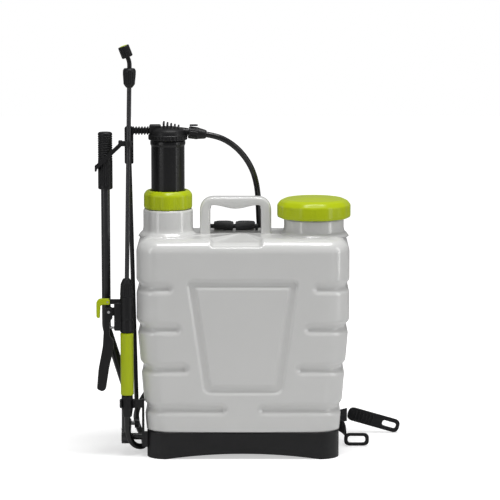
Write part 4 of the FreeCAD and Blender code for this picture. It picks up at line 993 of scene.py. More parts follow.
@dataclass
class GripRing:
    """A lime screw piece with broad lobes and patches of fine grip ribs.

    Attributes:
        name: The piece's name.
        node: The CAD node that it stands for.
        body: The body that it rides on.
        x: Where its axis stands.
        foot: The height of its lower edge.
        outline: Points of (radius, height).
        lobes: Number of lobes in a full turn.
        lobe_depth: Depth of the valleys between the lobes.
        rib_low: Lower end of the fine ribs, above the foot.
        rib_high: Upper end of the fine ribs, above the foot.
        softness: Reach of the rounding at the outline's corners.
        fine_pitch: Distance from one fine rib to the next.
        fine_height: How far a fine rib stands out.
    """

    name: str
    node: str
    body: str
    x: float
    foot: float
    outline: tuple[tuple[float, float], ...]
    lobes: int
    lobe_depth: float
    rib_low: float
    rib_high: float
    softness: float = 3 * MM
    fine_pitch: float = 2.6 * MM
    fine_height: float = 0.45 * MM

    def ripple(self, angle: Array, radius: Array, height: Array) -> Array:
        """Sink the skirt between lobes, and rib it where each lobe meets the next.

        Args:
            angle: Each point's angle about the axis.
            radius: Its radius before the change.
            height: Its height above the foot.

        Returns:
            The new radii.
        """
        outer = max(r for r, _ in self.outline)
        on_skirt = smooth_step(0.80 * outer, 0.97 * outer, radius)
        turn = angle * self.lobes
        broad = self.lobe_depth * (0.5 - 0.5 * np.cos(turn))
        ribbed = smooth_step(0.25, 0.6, -np.cos(turn))
        band = smooth_step(self.rib_low, self.rib_low + 2 * MM, height) * (
            1.0 - smooth_step(self.rib_high - 3 * MM, self.rib_high, height))
        turns = round(TAU * outer / self.fine_pitch)
        fine = self.fine_height * (0.5 + 0.5 * np.cos(angle * turns)) * ribbed * band
        return radius - on_skirt * broad + on_skirt * fine

    def build(self, shop: Workshop) -> None:
        """Make and place the ring."""
        profile = soften(self.outline, self.softness, 6)
        piece = lathe(self.name, filled(profile, 3), at(self.x, 0, self.foot), 720, self.ripple)
        shop.place(piece, self.body, LIME, self.node)


def lime_rings() -> list[GripRing]:
    """The pump's ring nut and the filler cap."""
    nut = ((39.5, 0.2), (42.0, 0.2), (43.5, 3.0), (43.5, 26.0), (38.0, 33.0), (31.4, 33.0),
           (31.4, 25.0), (39.5, 25.0), (39.5, 0.2))
    cap = ((63.2, 0.3), (64.8, 0.3), (66.0, 3.0), (66.0, 23.0), (60.5, 30.0), (52.0, 33.4),
           (49.5, 32.7), (40.0, 33.6), (20.0, 35.4), (0.0, 36.0))
    inner = ((0.0, 33.0), (52.0, 30.5), (62.8, 22.0), (63.2, 0.3))
    return [
        GripRing("ring_nut_lime", "ring_nut", "ring_nut", -134.5 * MM, 441.3 * MM,
                 tuple((r * MM, z * MM) for r, z in nut), 8, 1.3 * MM, 3 * MM, 26 * MM),
        GripRing("filler_cap_lime", "filler_cap", "cap", 127.3 * MM, 425.3 * MM,
                 tuple((r * MM, z * MM) for r, z in inner + cap[1:]), 10, 1.6 * MM, 2 * MM,
                 24 * MM, 2.5 * MM),
    ]


# ------------------------------------------------------------------ pump head and lever

@dataclass
class PumpHead:
    """The pressure chamber, its finned lid, the ribbed arm and the hose nut."""

    x: float = -134.5 * MM
    foot: float = 165 * MM
    top: float = 565 * MM
    fins: int = 5
    fin_pitch: float = 6.6 * MM
    arm_height: float = 581 * MM
    ribs: int = 6
    first_rib: float = -171.7 * MM
    rib_pitch: float = 5.2 * MM
    rod_x: float = -204 * MM
    socket_foot: float = 521.6 * MM
    nut_seat: tuple[float, float, float] = (-97.5 * MM, 0.0, 578 * MM)
    nut_lean: float = 97.0
    wing_seat: tuple[float, float, float] = (-88 * MM, 0.0, 590.7 * MM)

    def chamber(self) -> bpy.types.Object:
        """A drawn tube with faint flats and a bead under the lid."""
        outline = np.array([(27.5, 0), (30, 0), (30, 389), (31.6, 392), (31.6, 397), (30, 400),
                            (27.5, 400), (27.5, 0)]) * MM
        profile = soften(outline[:-1], 1.0 * MM, 3, closed=True)
        profile = np.vstack([profile, profile[:1]])
        return lathe("pressure_chamber_skin", profile, at(self.x, 0, self.foot), 144,
                     lambda angle, radius, height: radius - 0.22 * MM * (
                         0.5 - 0.5 * np.cos(18 * angle)) * (radius > 29 * MM))

    def lid(self) -> bpy.types.Object:
        """The lid's notched flange and stepped dome."""
        outline = ((0, 0), (34.2, 0), (35, 1), (35, 8), (34, 9), (33.2, 9.4), (33, 12), (31, 17),
                   (26, 20.5), (20, 22), (14, 23), (0, 23))
        return ribbed_turn("chamber_lid_cap", outline, at(self.x, 0, self.top), 28, 0.9, 1.0, 8.4, 8)

    def fin(self, number: int) -> bpy.types.Object:
        """One upright fin of the lid's comb, rounded at its top corners."""
        x = self.x + 6 * MM + (number - 2) * self.fin_pitch
        tall = (23 - 1.6 * number) * MM
        low = self.top + 9 * MM
        outline = soften(np.array([(-19.5 * MM, 0), (19.5 * MM, 0), (18 * MM, tall), (-18 * MM, tall)]),
                         5 * MM, 5, closed=True)
        upright = Matrix(((0, 0, 1, 0), (1, 0, 0, 0), (0, 1, 0, 0), (0, 0, 0, 1)))
        return plate("lid_fin_%d" % number, [outline], 3 * MM, 0.9 * MM, at(x, 0, low, upright))

    def build(self, shop: Workshop) -> None:
        """Make and place the pump head's pieces."""
        shop.place(self.chamber(), "pump", BLACK_SMOOTH, "pressure_chamber")
        shop.place(self.lid(), "pump", BLACK, "chamber_lid")
        for number in range(self.fins):
            shop.place(self.fin(number), "pump", BLACK, "chamber_lid")
        clamp = block("lid_clamp", (-167.6 * MM, -10.8 * MM, 574.2 * MM),
                      (-147 * MM, 10.8 * MM, 591.8 * MM), 2.5 * MM)
        shop.place(clamp, "pump", BLACK, "chamber_lid")
        self.arm(shop)
        self.hose_joint(shop)

    def arm(self, shop: Workshop) -> None:
        """The ribbed arm from the clamp to the socket on the pull rod."""
        low, high = self.arm_height - 5 * MM, self.arm_height + 5 * MM
        core = block("arm_core", (-198 * MM, -5.8 * MM, low), (-166 * MM, 5.8 * MM, high), 2 * MM)
        shop.place(core, "pump", BLACK, "lid_arm")
        for number in range(self.ribs):
            x = self.first_rib - number * self.rib_pitch
            rib = block("arm_rib_%d" % number, (x, -8 * MM, low - 2 * MM),
                        (x + 2.7 * MM, 8 * MM, high + 2 * MM), 1.1 * MM)
            shop.place(rib, "pump", BLACK, "lid_arm")
        socket = ((0, 1), (5.4, 0), (7.2, 0), (8, 2), (8, 64), (6, 67), (0, 67.5))
        shop.place(ribbed_turn("arm_socket", socket, at(self.rod_x, 0, self.socket_foot), 12, 0.4,
                               4, 40, 10), "pump", BLACK, "lid_arm")

    def hose_joint(self, shop: Workshop) -> None:
        """The hose's union nut, its winged clip and the lid's outlet boss."""
        place = at(*self.nut_seat, tilt(self.nut_lean))
        nut = ((5.3, 0), (10, 0), (11, 1.2), (11, 16), (10.2, 18), (8.2, 29.5), (7.4, 31),
               (7.2, 32.2), (5.4, 32.2), (5.3, 0))
        shop.place(ribbed_turn("hose_union_nut", nut, place, 16, 0.8, 1.5, 16.5, 10), "pump", BLACK,
                   "hose_nut")
        wing = soften(np.array([(-7.5, -5), (4, -6), (7.5, -3), (7.5, 3), (4, 6), (-7.5, 5)]) * MM,
                      3 * MM, 5, closed=True)
        shop.place(plate("union_nut_wing", [wing], 2.6 * MM, 1.0 * MM, at(*self.wing_seat)), "pump",
                   BLACK, "hose_nut_wing")
        boss = ((0, -16), (7.5, -16), (7.5, -1.2), (7.2, -0.3), (0, -0.3))
        shop.place(ribbed_turn("lid_outlet_boss", boss, place, 8, 0.0, 0, 1), "pump", BLACK,
                   "chamber_lid")


@dataclass
class Lever:
    """The pump lever's moulded grip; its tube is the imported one."""

    x: float = -245 * MM
    y: float = -33.59 * MM
    foot: float = 480 * MM
    tall: float = 102 * MM

    def grip(self) -> bpy.types.Object:
        """A grip with rings on its upper half and flutes on its lower half."""
        outline = np.array([(8.1, 0), (11.8, 0), (13, 1.6), (13, 99.5), (11, 102), (0, 102),
                            (0, 100)]) * MM
        dense = filled(soften(outline, 1.5 * MM, 4), 330, 20 * MM)

        def ripple(angle: Array, radius: Array, height: Array) -> Array:
            """Rings of 4 mm pitch above the middle and sixteen flutes below it."""
            share = height / self.tall
            rings = smooth_step(0.50, 0.52, share) * (1 - smooth_step(0.95, 0.97, share))
            flutes = smooth_step(0.05, 0.08, share) * (1 - smooth_step(0.44, 0.47, share))
            ring = smooth_step(0.0, 0.8, np.cos(height * TAU / (4.0 * MM)))
            flute = smooth_step(0.1, 0.9, np.cos(16 * angle))
            sink = 0.9 * MM * rings * ring + 0.8 * MM * flutes * flute
            return radius - sink * (radius > 12 * MM)

        return lathe("lever_grip_moulded", dense, at(self.x, self.y, self.foot), 128, ripple)

    def build(self, shop: Workshop) -> None:
        """Make and place the grip."""
        shop.place(self.grip(), "lever", BLACK, "lever_grip")


# ------------------------------------------------------------------ gun and lance

@dataclass
class SprayGun:
    """The shut-off gun, its trigger and catch, and the lance's nuts and nozzle."""

    x: float = -207 * MM
    y: float = -66 * MM
    body_foot: float = 88 * MM
    grip_foot: float = 113 * MM
    tail_foot: float = 73 * MM
    lance_foot: float = 291 * MM
    lance_reach: float = 373 * MM
    trigger_hinge: tuple[float, float] = (-239 * MM, 264 * MM)
    catch_pin: tuple[float, float] = (-241 * MM, 282 * MM)
    lean: float = 1.05
    nozzle_tilt: float = 21.0
    nozzle_seat: tuple[float, float, float] = (-202.57 * MM, -66 * MM, 717.33 * MM)

    def side_plate(self, name: str, outline: Array, thickness: float, shift: float,
                   spot: tuple[float, float], bevel: float) -> bpy.types.Object:
        """Make a plate that stands in the X-Z plane.

        Args:
            name: The piece's name.
            outline: Its outline about the spot.
            thickness: Its thickness along Y.
            shift: How far it stands behind the gun's middle plane.
            spot: The X and Z of its pin.
            bevel: Radius of its rims.

        Returns:
            The mesh object.
        """
        place = at(spot[0], self.y + shift, spot[1], FRONT)
        return plate(name, [outline], thickness, bevel, place)

    def trigger(self, shop: Workshop) -> None:
        """Two cheeks forked round the ear, with a blade between them below it."""
        hinge = self.trigger_hinge
        outline = np.array([(-7, 5), (-4, 8), (4, 8), (7, 5), (7, -10), (1, -15), (1, -44), (8, -52),
                            (8, -66), (0, -102), (-6, -140), (-12, -144), (-22, -140),
                            (-19, -104), (-11, -62), (-9, -30)]) * MM
        blade = outline[outline[:, 1] < -9 * MM]
        cheek = soften(outline, 4 * MM, 5, closed=True)
        middle = soften(blade, 4 * MM, 5, closed=True)
        for side, label in ((-1, "near"), (1, "far")):
            piece = self.side_plate("trigger_cheek_" + label, cheek, 3.6 * MM, side * 5.7 * MM,
                                    hinge, 1.3 * MM)
            shop.place(piece, "trigger", BLACK, "trigger")
        piece = self.side_plate("trigger_blade", middle, 9.0 * MM, 0.0, hinge, 0.8 * MM)
        shop.place(piece, "trigger", BLACK, "trigger")

    def catch(self, shop: Workshop) -> None:
        """The lime hook that holds the trigger, forked like it."""
        pin = self.catch_pin
        outline = np.array([(4, -5), (4, 5), (-15, 5), (-20, 0), (-20, -28), (-14, -30), (-13, -8),
                            (-10, -5)]) * MM
        hook = soften(outline, 3 * MM, 5, closed=True)
        for side, label in ((-1, "near"), (1, "far")):
            piece = self.side_plate("catch_cheek_" + label, hook, 2.1 * MM, side * 4.9 * MM, pin,
                                    0.8 * MM)
            shop.place(piece, "lock", LIME, "trigger_lock")
        front = soften(outline[outline[:, 0] < -7 * MM], 2.5 * MM, 5, closed=True)
        piece = self.side_plate("catch_front", front, 8.4 * MM, 0.0, pin, 0.8 * MM)
        shop.place(piece, "lock", LIME, "trigger_lock")

    def body(self, shop: Workshop) -> None:
        """The valve body with its ears, the grip sleeve and the tail nut."""
        core = ((6, 0), (8.2, 0), (8.2, 138), (12, 139), (12, 158), (11.2, 160), (11.2, 163),
                (12, 165), (12, 203), (6, 203), (6, 0))
        shop.place(ribbed_turn("gun_valve_body", core, at(self.x, self.y, self.body_foot), 10, 0.0,
                               0, 1), "gun", BLACK, "gun_body")
        half = 7.5 * MM
        ear = block("gun_ear_block", (-229.5 * MM, self.y - half, 230 * MM),
                    (-216 * MM, self.y + half, 281 * MM), 2.2 * MM)
        shop.place(ear, "gun", BLACK, "gun_body")
        outline = soften(np.array([(-7, -4), (-5, -7), (20, -7), (20, 7), (-5, 7), (-7, 4)]) * MM,
                         3 * MM, 4, closed=True)
        shop.place(self.side_plate("gun_trigger_ear", outline, 7 * MM, 0.0, self.trigger_hinge,
                                   0.6 * MM), "gun", BLACK, "gun_body")
        outline = soften(np.array([(-4, -4.2), (25, -4.2), (25, 4.2), (-4, 4.2)]) * MM, 3 * MM, 4,
                         closed=True)
        shop.place(self.side_plate("gun_catch_ear", outline, 7 * MM, 0.0, self.catch_pin,
                                   0.6 * MM), "gun", BLACK, "gun_body")
        sleeve = ((8.3, 0), (10.6, 0), (11.8, 1.6), (11.8, 111.4), (10.6, 113), (8.3, 113), (8.3, 0))
        shop.place(ribbed_turn("gun_grip_sleeve", sleeve, at(self.x, self.y, self.grip_foot), 6,
                               0.25, 8, 105, 30), "gun", LIME, "gun_grip")
        tail = ((3.8, 0), (7.4, 0), (8.2, 1.5), (10, 14), (10, 38), (9, 39), (8.3, 39), (3.8, 39),
                (3.8, 0))
        shop.place(ribbed_turn("gun_tail_nut", tail, at(self.x, self.y, self.tail_foot), 20, 0.7,
                               14.5, 37, 12), "gun", BLACK, "tail_nut")

    def lance(self, shop: Workshop) -> None:
        """The lance's lower nut, its upper nut and the twist nozzle."""
        nut = ((4.7, 0), (11.4, 0), (12, 3.5), (10.8, 23), (6.4, 32.4), (4.7, 33), (4.7, 0))
        shop.place(ribbed_turn("lance_lower_nut", nut, at(self.x, self.y, self.lance_foot), 14,
                               0.8, 3, 23, 12), "gun", BLACK, "lance_nut")
        lean = math.radians(self.lean)
        place = at(self.x + self.lance_reach * math.sin(lean), self.y,
                   self.lance_foot + self.lance_reach * math.cos(lean), tilt(self.lean))
        top = ((4.7, 0), (5.5, 0), (10, 6), (11.2, 20), (11.5, 23), (11.5, 30), (9.5, 34),
               (4.7, 34), (4.7, 0))
        shop.place(ribbed_turn("lance_upper_nut", top, place, 12, 0.8, 7, 29, 12), "gun", BLACK,
                   "lance_top_nut")
        place = at(*self.nozzle_seat, tilt(-self.nozzle_tilt))
        cap = ((4.4, 0), (9, 0), (10, 1.4), (10, 20), (9.2, 21), (7, 21), (7, 18.6), (4.4, 18.6),
               (4.4, 0))
        shop.place(ribbed_turn("nozzle_twist_cap", cap, place, 18, 0.8, 2, 19.4, 12), "nozzle",
                   BLACK, "nozzle_cap")
        tip = ((0.8, 15.6), (4.1, 15.6), (4.1, 18.7), (6.7, 18.7), (6.7, 21.2), (6.2, 21.6),
               (2.4, 21.4), (0.8, 20.4), (0.8, 15.6))
        shop.place(ribbed_turn("nozzle_lime_tip", tip, place, 6, 0.0, 0, 1), "nozzle", LIME,
                   "nozzle_tip")

    def build(self, shop: Workshop) -> None:
        """Make and place the gun's pieces."""
        self.body(shop)
        self.trigger(shop)
        self.catch(shop)
        self.lance(shop)


# ------------------------------------------------------------------ harness

Row = tuple[tuple[float, float, float], tuple[float, float, float], tuple[float, float, float]]


def band(name: str, rows: Sequence[Row], width: float, thickness: float,
         columns: int = 9) -> bpy.types.Object:
    """A flat woven band through rows of (middle, across, normal), with a UV map in metres.

    Each row's outline is a slim rounded rectangle: half the width along `across` and half
    the thickness along `normal`. U runs across the band and V along it.

    Args:
        name: The piece's name.
        rows: The band's rows, from one end to the other.
        width: Full width.
        thickness: Full thickness at its middle.
        columns: Number of points across each face.

    Returns:
        The mesh object.
    """
    middles, across, normals = (np.array([row[i] for row in rows]) for i in range(3))
    share = np.linspace(-1.0, 1.0, columns)
    round_off = np.sqrt(np.clip(1.0 - np.abs(share) ** 6, 0.0, 1.0))
    over = middles[:, None] + share[None, :, None] * across[:, None] * width / 2
    lift = round_off[None, :, None] * normals[:, None] * thickness / 2
    points = np.concatenate([over + lift, (over - lift)[:, -2:0:-1]], axis=1)
    thing = skin(name, points)
    run = np.concatenate([[0.0], np.cumsum(np.linalg.norm(np.diff(middles, axis=0), axis=1))])
    mesh = thing.data
    places = np.zeros(len(mesh.vertices) * 3)
    mesh.vertices.foreach_get("co", places)
    places = places.reshape(-1, 3)
    nearest = np.argmin(np.linalg.norm(places[:, None] - middles[None], axis=2), axis=1)
    offset = places - middles[nearest]
    u = np.einsum("ij,ij->i", offset, across[nearest])
    corners = np.zeros(len(mesh.loops), np.int32)
    mesh.loops.foreach_get("vertex_index", corners)
    uv = np.stack([u[corners], run[nearest][corners]], axis=1).astype(np.float32)
    mesh.uv_layers.new(name="UVMap").data.foreach_set("uv", uv.ravel())
    return thing


@dataclass
class Strap:
    """One shoulder strap: roll, pad, buckle and webbing; its hook is made apart.

    Attributes:
        side: left or right, as in the node names.
        x: Middle of the pad.
        web_y: Depth of the webbing's drop.
        run: The lower edge of the webbing's run to the hook, in millimetres.
        roll_tilt: Slant of the roll round the bar, in degrees.
    """

    side: str
    x: float
    web_y: float
    run: tuple[tuple[float, float, float], ...]
    roll_tilt: float
    width: float = 36 * MM
    web: float = 25 * MM
    bar_y: float = 34 * MM
    bar_z: float = 404 * MM
    back: float = 111.5 * MM
    pad_low: float = 150 * MM
    foot: float = 1 * MM

    def pad(self) -> bpy.types.Object:
        """A crowned pad with a sewn hem and cross channels, bent over the tank's edge."""
        top = 402 * MM
        corners = [(0, self.bar_y + 8 * MM, top), (0, 100 * MM, top), (0, self.back, top - 16 * MM),
                   (0, self.back, self.pad_low + 1 * MM)]
        path = even(soften(corners, 12 * MM, 8), 300)
        tangent = unit(np.gradient(path, axis=0))
        normal = np.cross((1.0, 0.0, 0.0), tangent)
        run = np.linspace(0.0, 1.0, len(path)) * 350 * MM
        angle = np.linspace(0.0, TAU, 72, endpoint=False)[None, :]
        across = np.sign(np.cos(angle)) * np.abs(np.cos(angle)) ** 0.55
        lift = np.sign(np.sin(angle)) * np.abs(np.sin(angle)) ** 0.75
        channel = np.exp(-((run[:, None] - np.round(run[:, None] / (42 * MM)) * 42 * MM)
                           / (2.2 * MM)) ** 2)
        hem = np.exp(-((np.abs(across) - 0.80) / 0.05) ** 2)
        stitch = 0.5 + 0.5 * np.cos(run[:, None] * TAU / (4.5 * MM))
        thick = 3.9 * MM * (1.0 - 0.45 * channel) * (1.0 - 0.30 * hem * (0.6 + 0.4 * stitch))
        ends = np.minimum(1.0, np.minimum(run, run[::-1])[:, None] / (7 * MM)) ** 0.5
        half = (self.width / 2 - 0.6 * MM * channel) * (0.86 + 0.14 * ends)
        points = path[:, None, :] + np.stack(
            [self.x + across * half, 0 * half * lift, 0 * half * lift], axis=-1)
        points = points + (lift * thick * (0.35 + 0.65 * ends))[..., None] * normal[:, None, :]
        return skin("shoulder_pad_" + self.side, points)

    def roll(self) -> bpy.types.Object:
        """The strap's end, sewn round the bar."""
        outline = np.array([(4.2, -17.6), (6.4, -17.6), (7.0, -15), (6.6, 0), (7.0, 15),
                            (6.4, 17.6), (4.2, 17.6)]) * MM
        profile = soften(outline, 1.5 * MM, 4, closed=True)
        return lathe("strap_roll_" + self.side, np.vstack([profile, profile[:1]]),
                     at(self.x, self.bar_y, self.bar_z, tilt(90 + self.roll_tilt)), 64)

    def webbing(self) -> bpy.types.Object:
        """The webbing's drop from the buckle, its folded corner and its run to the hook."""
        half = self.web / 2
        level = self.foot + half
        rows: list[Row] = []
        for z in np.linspace(118.5 * MM, level + 6 * MM, 26):
            sway = 1.0 * MM * math.sin((z - level) * 40.0)
            rows.append(((self.x, self.web_y + sway, z), (1, 0, 0), (0, 1, 0)))
        rows.append(((self.x, self.web_y, level), (1, 0, 1), (0, 1, 0)))
        plan = [(self.x, self.web_y, self.foot), *(tuple(c * MM for c in spot) for spot in self.run)]
        line = even(soften(plan, 22 * MM, 6), 60)
        step = np.gradient(line, axis=0)
        step[:, 2] = 0.0
        for (x, y, z), (along_x, along_y, _) in zip(line, unit(step)):
            if x > self.x + half * 0.6:
                rows.append(((x, y, z + half), (0, 0, 1), (-along_y, along_x, 0)))
        return band("webbing_strap_" + self.side, rows, self.web, 2 * MM)

    def buckle(self) -> bpy.types.Object:
        """A ladder buckle: a rounded frame with two slots."""
        half = self.web / 2 + 4 * MM
        frame = soften(np.array([(-half, -15 * MM), (half, -15 * MM), (half, 15 * MM),
                                 (-half, 15 * MM)]), 4 * MM, 5, closed=True)
        slots = []
        for z in (-7.5 * MM, 6.5 * MM):
            reach = self.web / 2 + 0.5 * MM
            slots.append(soften(np.array([(-reach, z - 3.2 * MM), (reach, z - 3.2 * MM),
                                          (reach, z + 3.2 * MM), (-reach, z + 3.2 * MM)]),
                                2 * MM, 4, closed=True))
        deep = self.web_y + 4 * MM - 108 * MM
        place = at(self.x, 108 * MM + deep / 2, 134.7 * MM, FRONT)
        return plate("ladder_buckle_" + self.side, [frame, *slots], deep, 1.6 * MM, place)

    def build(self, shop: Workshop) -> None:
        pad = shop.place(self.pad(), "root", PAD_CLOTH, "pad_" + self.side)
        shop.place(self.roll(), "root", PAD_CLOTH, "pad_" + self.side)
        shop.place(self.webbing(), "root", STRAP, "webbing_" + self.side)
        shop.place(self.buckle(), "root", BLACK, "buckle_" + self.side)


@dataclass
class StrapHooks:
    """The two strap-end hooks by the tank's right side: an oval ring and a ribbed plate.

    Outlines are in millimetres, as for box_outline, and the rest is in metres.
    """

    ring_spot: tuple[float, float, float] = (207 * MM, 20 * MM, 12.8 * MM)
    ring_size: tuple[float, float] = (45.6, 23.6)
    eye_size: tuple[float, float] = (32, 12)
    plate_spot: tuple[float, float, float] = (243 * MM, 135 * MM, 24.6 * MM)
    plate_size: tuple[float, float] = (99.6, 25.6)
    slot_size: tuple[float, float, float] = (26, 10, 30)
    lean: float = 16.0
    ribs: int = 6
    first_rib: float = -36 * MM
    rib_pitch: float = 6.4 * MM

    def ring(self, shop: Workshop) -> None:
        """The plain oval ring of the right strap."""
        loop = soften(box_outline(*self.ring_size), 11.5 * MM, 8, closed=True)
        eye = soften(box_outline(*self.eye_size), 5.9 * MM, 8, closed=True)
        shop.place(plate("hook_loop_right", [loop, eye], 6 * MM, 2.2 * MM,
                         at(*self.ring_spot, FRONT)), "root", BLACK, "hook_right")

    def ribbed_plate(self, shop: Workshop) -> None:
        """The left strap's slotted plate, with its grip ribs on the front."""
        body = soften(box_outline(*self.plate_size), 12.5 * MM, 8, closed=True)
        slot = soften(box_outline(*self.slot_size), 4.9 * MM, 8, closed=True)
        shop.place(plate("hook_plate_left", [body, slot], 5 * MM, 1.8 * MM,
                         at(*self.plate_spot, tilt(self.lean) @ FRONT)), "root", BLACK, "hook_left")
        for number in range(self.ribs):
            x = self.first_rib + number * self.rib_pitch
            rib = block("hook_rib_%d" % number, (x, -3.6 * MM, -9 * MM),
                        (x + 2.4 * MM, -1.6 * MM, 9 * MM), 0.9 * MM,
                        at(*self.plate_spot, tilt(self.lean)))
            shop.place(rib, "root", BLACK, "hook_left")

    def build(self, shop: Workshop) -> None:
        """Make and place both hooks."""
        self.ring(shop)
        self.ribbed_plate(shop)


def box_outline(wide: float, tall: float, middle: float = 0.0) -> Array:
    """The four corners, in metres, of a box given in millimetres."""
    return np.array([(middle - wide / 2, -tall / 2), (middle + wide / 2, -tall / 2),
                     (middle + wide / 2, tall / 2), (middle - wide / 2, tall / 2)]) * MM


def straps() -> list[Strap]:
    """Both shoulder straps."""
    return [
        Strap("left", -35.5 * MM, 124 * MM, ((60, 126, 1), (120, 131, 4), (160, 134, 14),
                                              (193.5, 134.6, 22.5)), 8.0),
        Strap("right", 4 * MM, 113 * MM, ((70, 112, 1), (112, 106, 4), (148, 99, 12),
                                           (174, 88, 16), (187.5, 66, 10), (188, 27, 4)), -10.0),
    ]


# ------------------------------------------------------------------ hose

UPPER_ROUTE = ((-66.3, 0, 574.2), (-47, 0, 571), (-26, 4, 561), (-8, 10, 546), (7, 17, 527),
               (18, 26, 505), (24, 39, 482), (27, 56, 459), (28, 74, 435), (29, 91, 409),
               (31, 101, 380), (31, 104, 348), (24, 102, 317), (9, 99, 290), (-12, 98, 266),
               (-38, 98, 247), (-60, 98, 236))
LOWER_ROUTE = ((-60, 98, 236), (-80, 98, 226), (-104, 98, 208), (-124, 99, 182),
               (-142, 101, 153), (-156, 103, 122), (-172, 99, 94), (-188, 84, 72),
               (-198, 62, 52), (-193, 38, 33), (-181.5, 16, 18), (-179, -4, 11),
               (-180, -24, 9.5), (-190, -40, 12.5), (-199, -53.5, 21.5), (-205, -62.5, 36),
               (-207.5, -66.2, 54), (-207, -66, 72.8))


@dataclass
class Hose:
    """One stretch of the delivery hose: a fixed tube along a bent route between two bodies."""

    name: str
    node: str
    route: tuple[tuple[float, float, float], ...]
    moving_end: int
    body: str
    start: tuple[float, float, float]
    end: tuple[float, float, float]
    length: float
    radius: float = 5.3 * MM

    def spline_mesh(self, bevel: float) -> bpy.types.Mesh:
        """The route's smooth spline as a mesh: a bare line, or a round tube."""
        curve = bpy.data.curves.new(self.name + "_line", "CURVE")
        curve.dimensions = "3D"
        curve.bevel_depth = bevel
        curve.bevel_resolution = 6
        curve.use_fill_caps = bevel > 0.0
        spline = curve.splines.new("NURBS")
        spline.points.add(len(self.route) - 1)
        for point, spot in zip(spline.points, self.route):
            point.co = (*(number * MM for number in spot), 1.0)
        spline.order_u = 3
        spline.use_endpoint_u = True
        spline.resolution_u = 10
        return mesh_of_curve(curve)

    def build(self, shop: Workshop) -> None:
        line = self.spline_mesh(0.0)
        path = np.zeros(len(line.vertices) * 3)
        line.vertices.foreach_get("co", path)
        mesh = self.spline_mesh(self.radius)
        mesh.name = self.name
        mesh.shade_smooth()
        tube = linked(self.name, mesh)
        dress(tube, HOSE_BLACK)
        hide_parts(self.node)
        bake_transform(tube)
        shop.made.append(self.name)
        LOG.info("%s bends between root and %s", self.name, self.body)


def hoses() -> list[Hose]:
    """Both stretches of the hose, from the lid to the back clip and on to the gun."""
    return [
        Hose("hose_to_back_clip", "hose_upper", UPPER_ROUTE, 0, "pump",
             (0.0, 0.0, 0.396), (0.0, 0.0, 0.572), 0.449),
        Hose("hose_to_gun", "hose_lower", LOWER_ROUTE, -1, "gun",
             (0.0, 0.050, 0.0), (0.0, -0.064, 0.0), 0.440),
    ]


# ------------------------------------------------------------------ studio

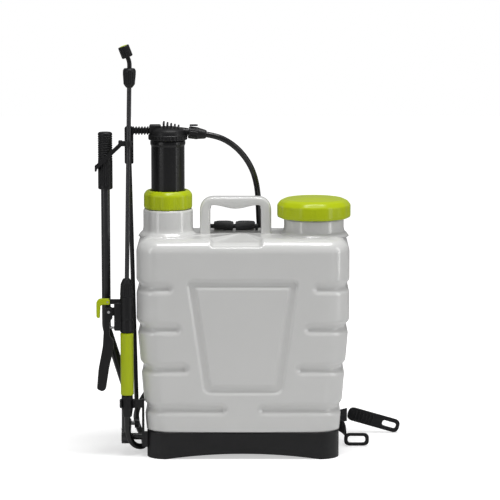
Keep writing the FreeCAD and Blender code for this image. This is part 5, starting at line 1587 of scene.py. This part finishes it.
@dataclass
class Studio:
    """A pale floor, plain far off and with painted shade near the object, soft light and the camera."""

    elevation: float = 8.5
    distance: float = 5.0
    aim: tuple[float, float, float] = (0.0126, 0.0, 0.365)
    lens: float = 200.0
    air_light: float = 0.26
    paper_glow: float = 0.90
    # Painted shade: the floor's camera-only glow close to the object, lower than the glow far off.
    painted_shade_near_glow: float = 0.52
    floor_half: float = 6.0
    lit_middle: tuple[float, float, float] = (0.0, 0.0, 0.30)

    def floor(self) -> None:
        """A wide pale floor that takes a soft shadow, plus painted shade: its glow, seen only by the
        camera, is weaker near the object, so the floor reads darker round it.
        """
        signs = np.array([(-1, -1, 0), (1, -1, 0), (1, 1, 0), (-1, 1, 0)], float)
        plane = put_mesh("studio_floor", signs * self.floor_half, np.array([[0, 1, 2, 3]]))
        material = bpy.data.materials.new("studio_floor_paper")
        material.use_nodes = True
        shader = material.node_tree.nodes["Principled BSDF"]
        graph = Graph(material.node_tree)
        shader.inputs["Base Color"].default_value = (0.80, 0.80, 0.80, 1.0)
        shader.inputs["Roughness"].default_value = 0.9
        shader.inputs["Specular IOR Level"].default_value = 0.1
        shader.inputs["Emission Color"].default_value = (1.0, 1.0, 1.0, 1.0)
        seen = graph.add("ShaderNodeLightPath").outputs["Is Camera Ray"]
        spread = graph.add("ShaderNodeVectorMath", operation="LENGTH")
        graph.join(graph.add("ShaderNodeTexCoord").outputs["Object"], spread.inputs[0])
        # Painted shade: the camera-only glow is weaker within about a metre of the object's middle, so
        # the floor there reads darker, like a shadow.
        painted_shade_fade = graph.add("ShaderNodeMapRange", inputs={
            "From Min": 0.30, "From Max": 1.2, "To Min": self.painted_shade_near_glow, "To Max": self.paper_glow})
        graph.join(spread.outputs["Value"], painted_shade_fade.inputs["Value"])
        floor_glow_painted_shade = graph.add("ShaderNodeMath", operation="MULTIPLY")
        graph.join(painted_shade_fade.outputs["Result"], floor_glow_painted_shade.inputs[0])
        graph.join(seen, floor_glow_painted_shade.inputs[1])
        graph.join(floor_glow_painted_shade.outputs[0], shader.inputs["Emission Strength"])
        plane.data.materials.append(material)

    def light(self, name: str, spot: tuple[float, float, float], size: tuple[float, float],
              power: float) -> None:
        """Hang one soft rectangular light that faces the middle of the object.

        Args:
            name: The light's name.
            spot: Where it hangs.
            size: Its width and height.
            power: Its power in watts.
        """
        lamp = bpy.data.lights.new(name, "AREA")
        lamp.shape = "RECTANGLE"
        lamp.size, lamp.size_y = size
        lamp.energy = power
        thing = linked(name, lamp)
        thing.location = spot
        aim = Vector(self.lit_middle) - thing.location
        thing.rotation_euler = aim.to_track_quat("-Z", "Y").to_euler()

    def build(self) -> None:
        """Make the floor, the world, the lights and the camera."""
        self.floor()
        world = bpy.data.worlds.new("studio_air")
        world.use_nodes = True
        air = world.node_tree.nodes["Background"]
        air.inputs["Color"].default_value = (1.0, 1.0, 1.0, 1.0)
        graph = Graph(world.node_tree)
        seen = graph.add("ShaderNodeLightPath").outputs["Is Camera Ray"]
        graph.join(graph.blend(seen, self.air_light, 1.0), air.inputs["Strength"])
        bpy.context.scene.world = world
        self.light("overhead", (0.15, -0.35, 2.1), (1.2, 0.45), 26.0)
        self.light("left_strip", (-1.5, -1.3, 0.9), (0.30, 1.6), 6.0)
        self.light("right_strip", (1.6, -0.7, 0.8), (0.30, 1.6), 7.0)
        rise = math.radians(self.elevation)
        camera = bpy.data.cameras.new("studio_camera")
        camera.lens = self.lens
        camera.sensor_width = 36.0
        camera.clip_end = 50.0
        thing = linked("studio_camera", camera)
        aim = Vector(self.aim)
        thing.location = aim + Vector((0.0, -self.distance * math.cos(rise),
                                       self.distance * math.sin(rise)))
        thing.rotation_euler = (aim - thing.location).to_track_quat("-Z", "Y").to_euler()
        bpy.context.scene.camera = thing
        bpy.context.scene.view_settings.view_transform = "Standard"


def main() -> None:
    """Load the frame and build every sub-assembly around it."""
    logging.basicConfig(level=logging.INFO, format="%(name)s: %(message)s")
    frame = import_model()
    shop = Workshop(frame)
    shop.dress_nodes()
    Tank().build(shop)
    for ring in lime_rings():
        ring.build(shop)
    PumpHead().build(shop)
    Lever().build(shop)
    SprayGun().build(shop)
    for strap in straps():
        strap.build(shop)
    StrapHooks().build(shop)
    for hose in hoses():
        hose.build(shop)
    Studio().build()
    LOG.info("%d pieces made", len(shop.made))


if __name__ == "__main__":
    main()
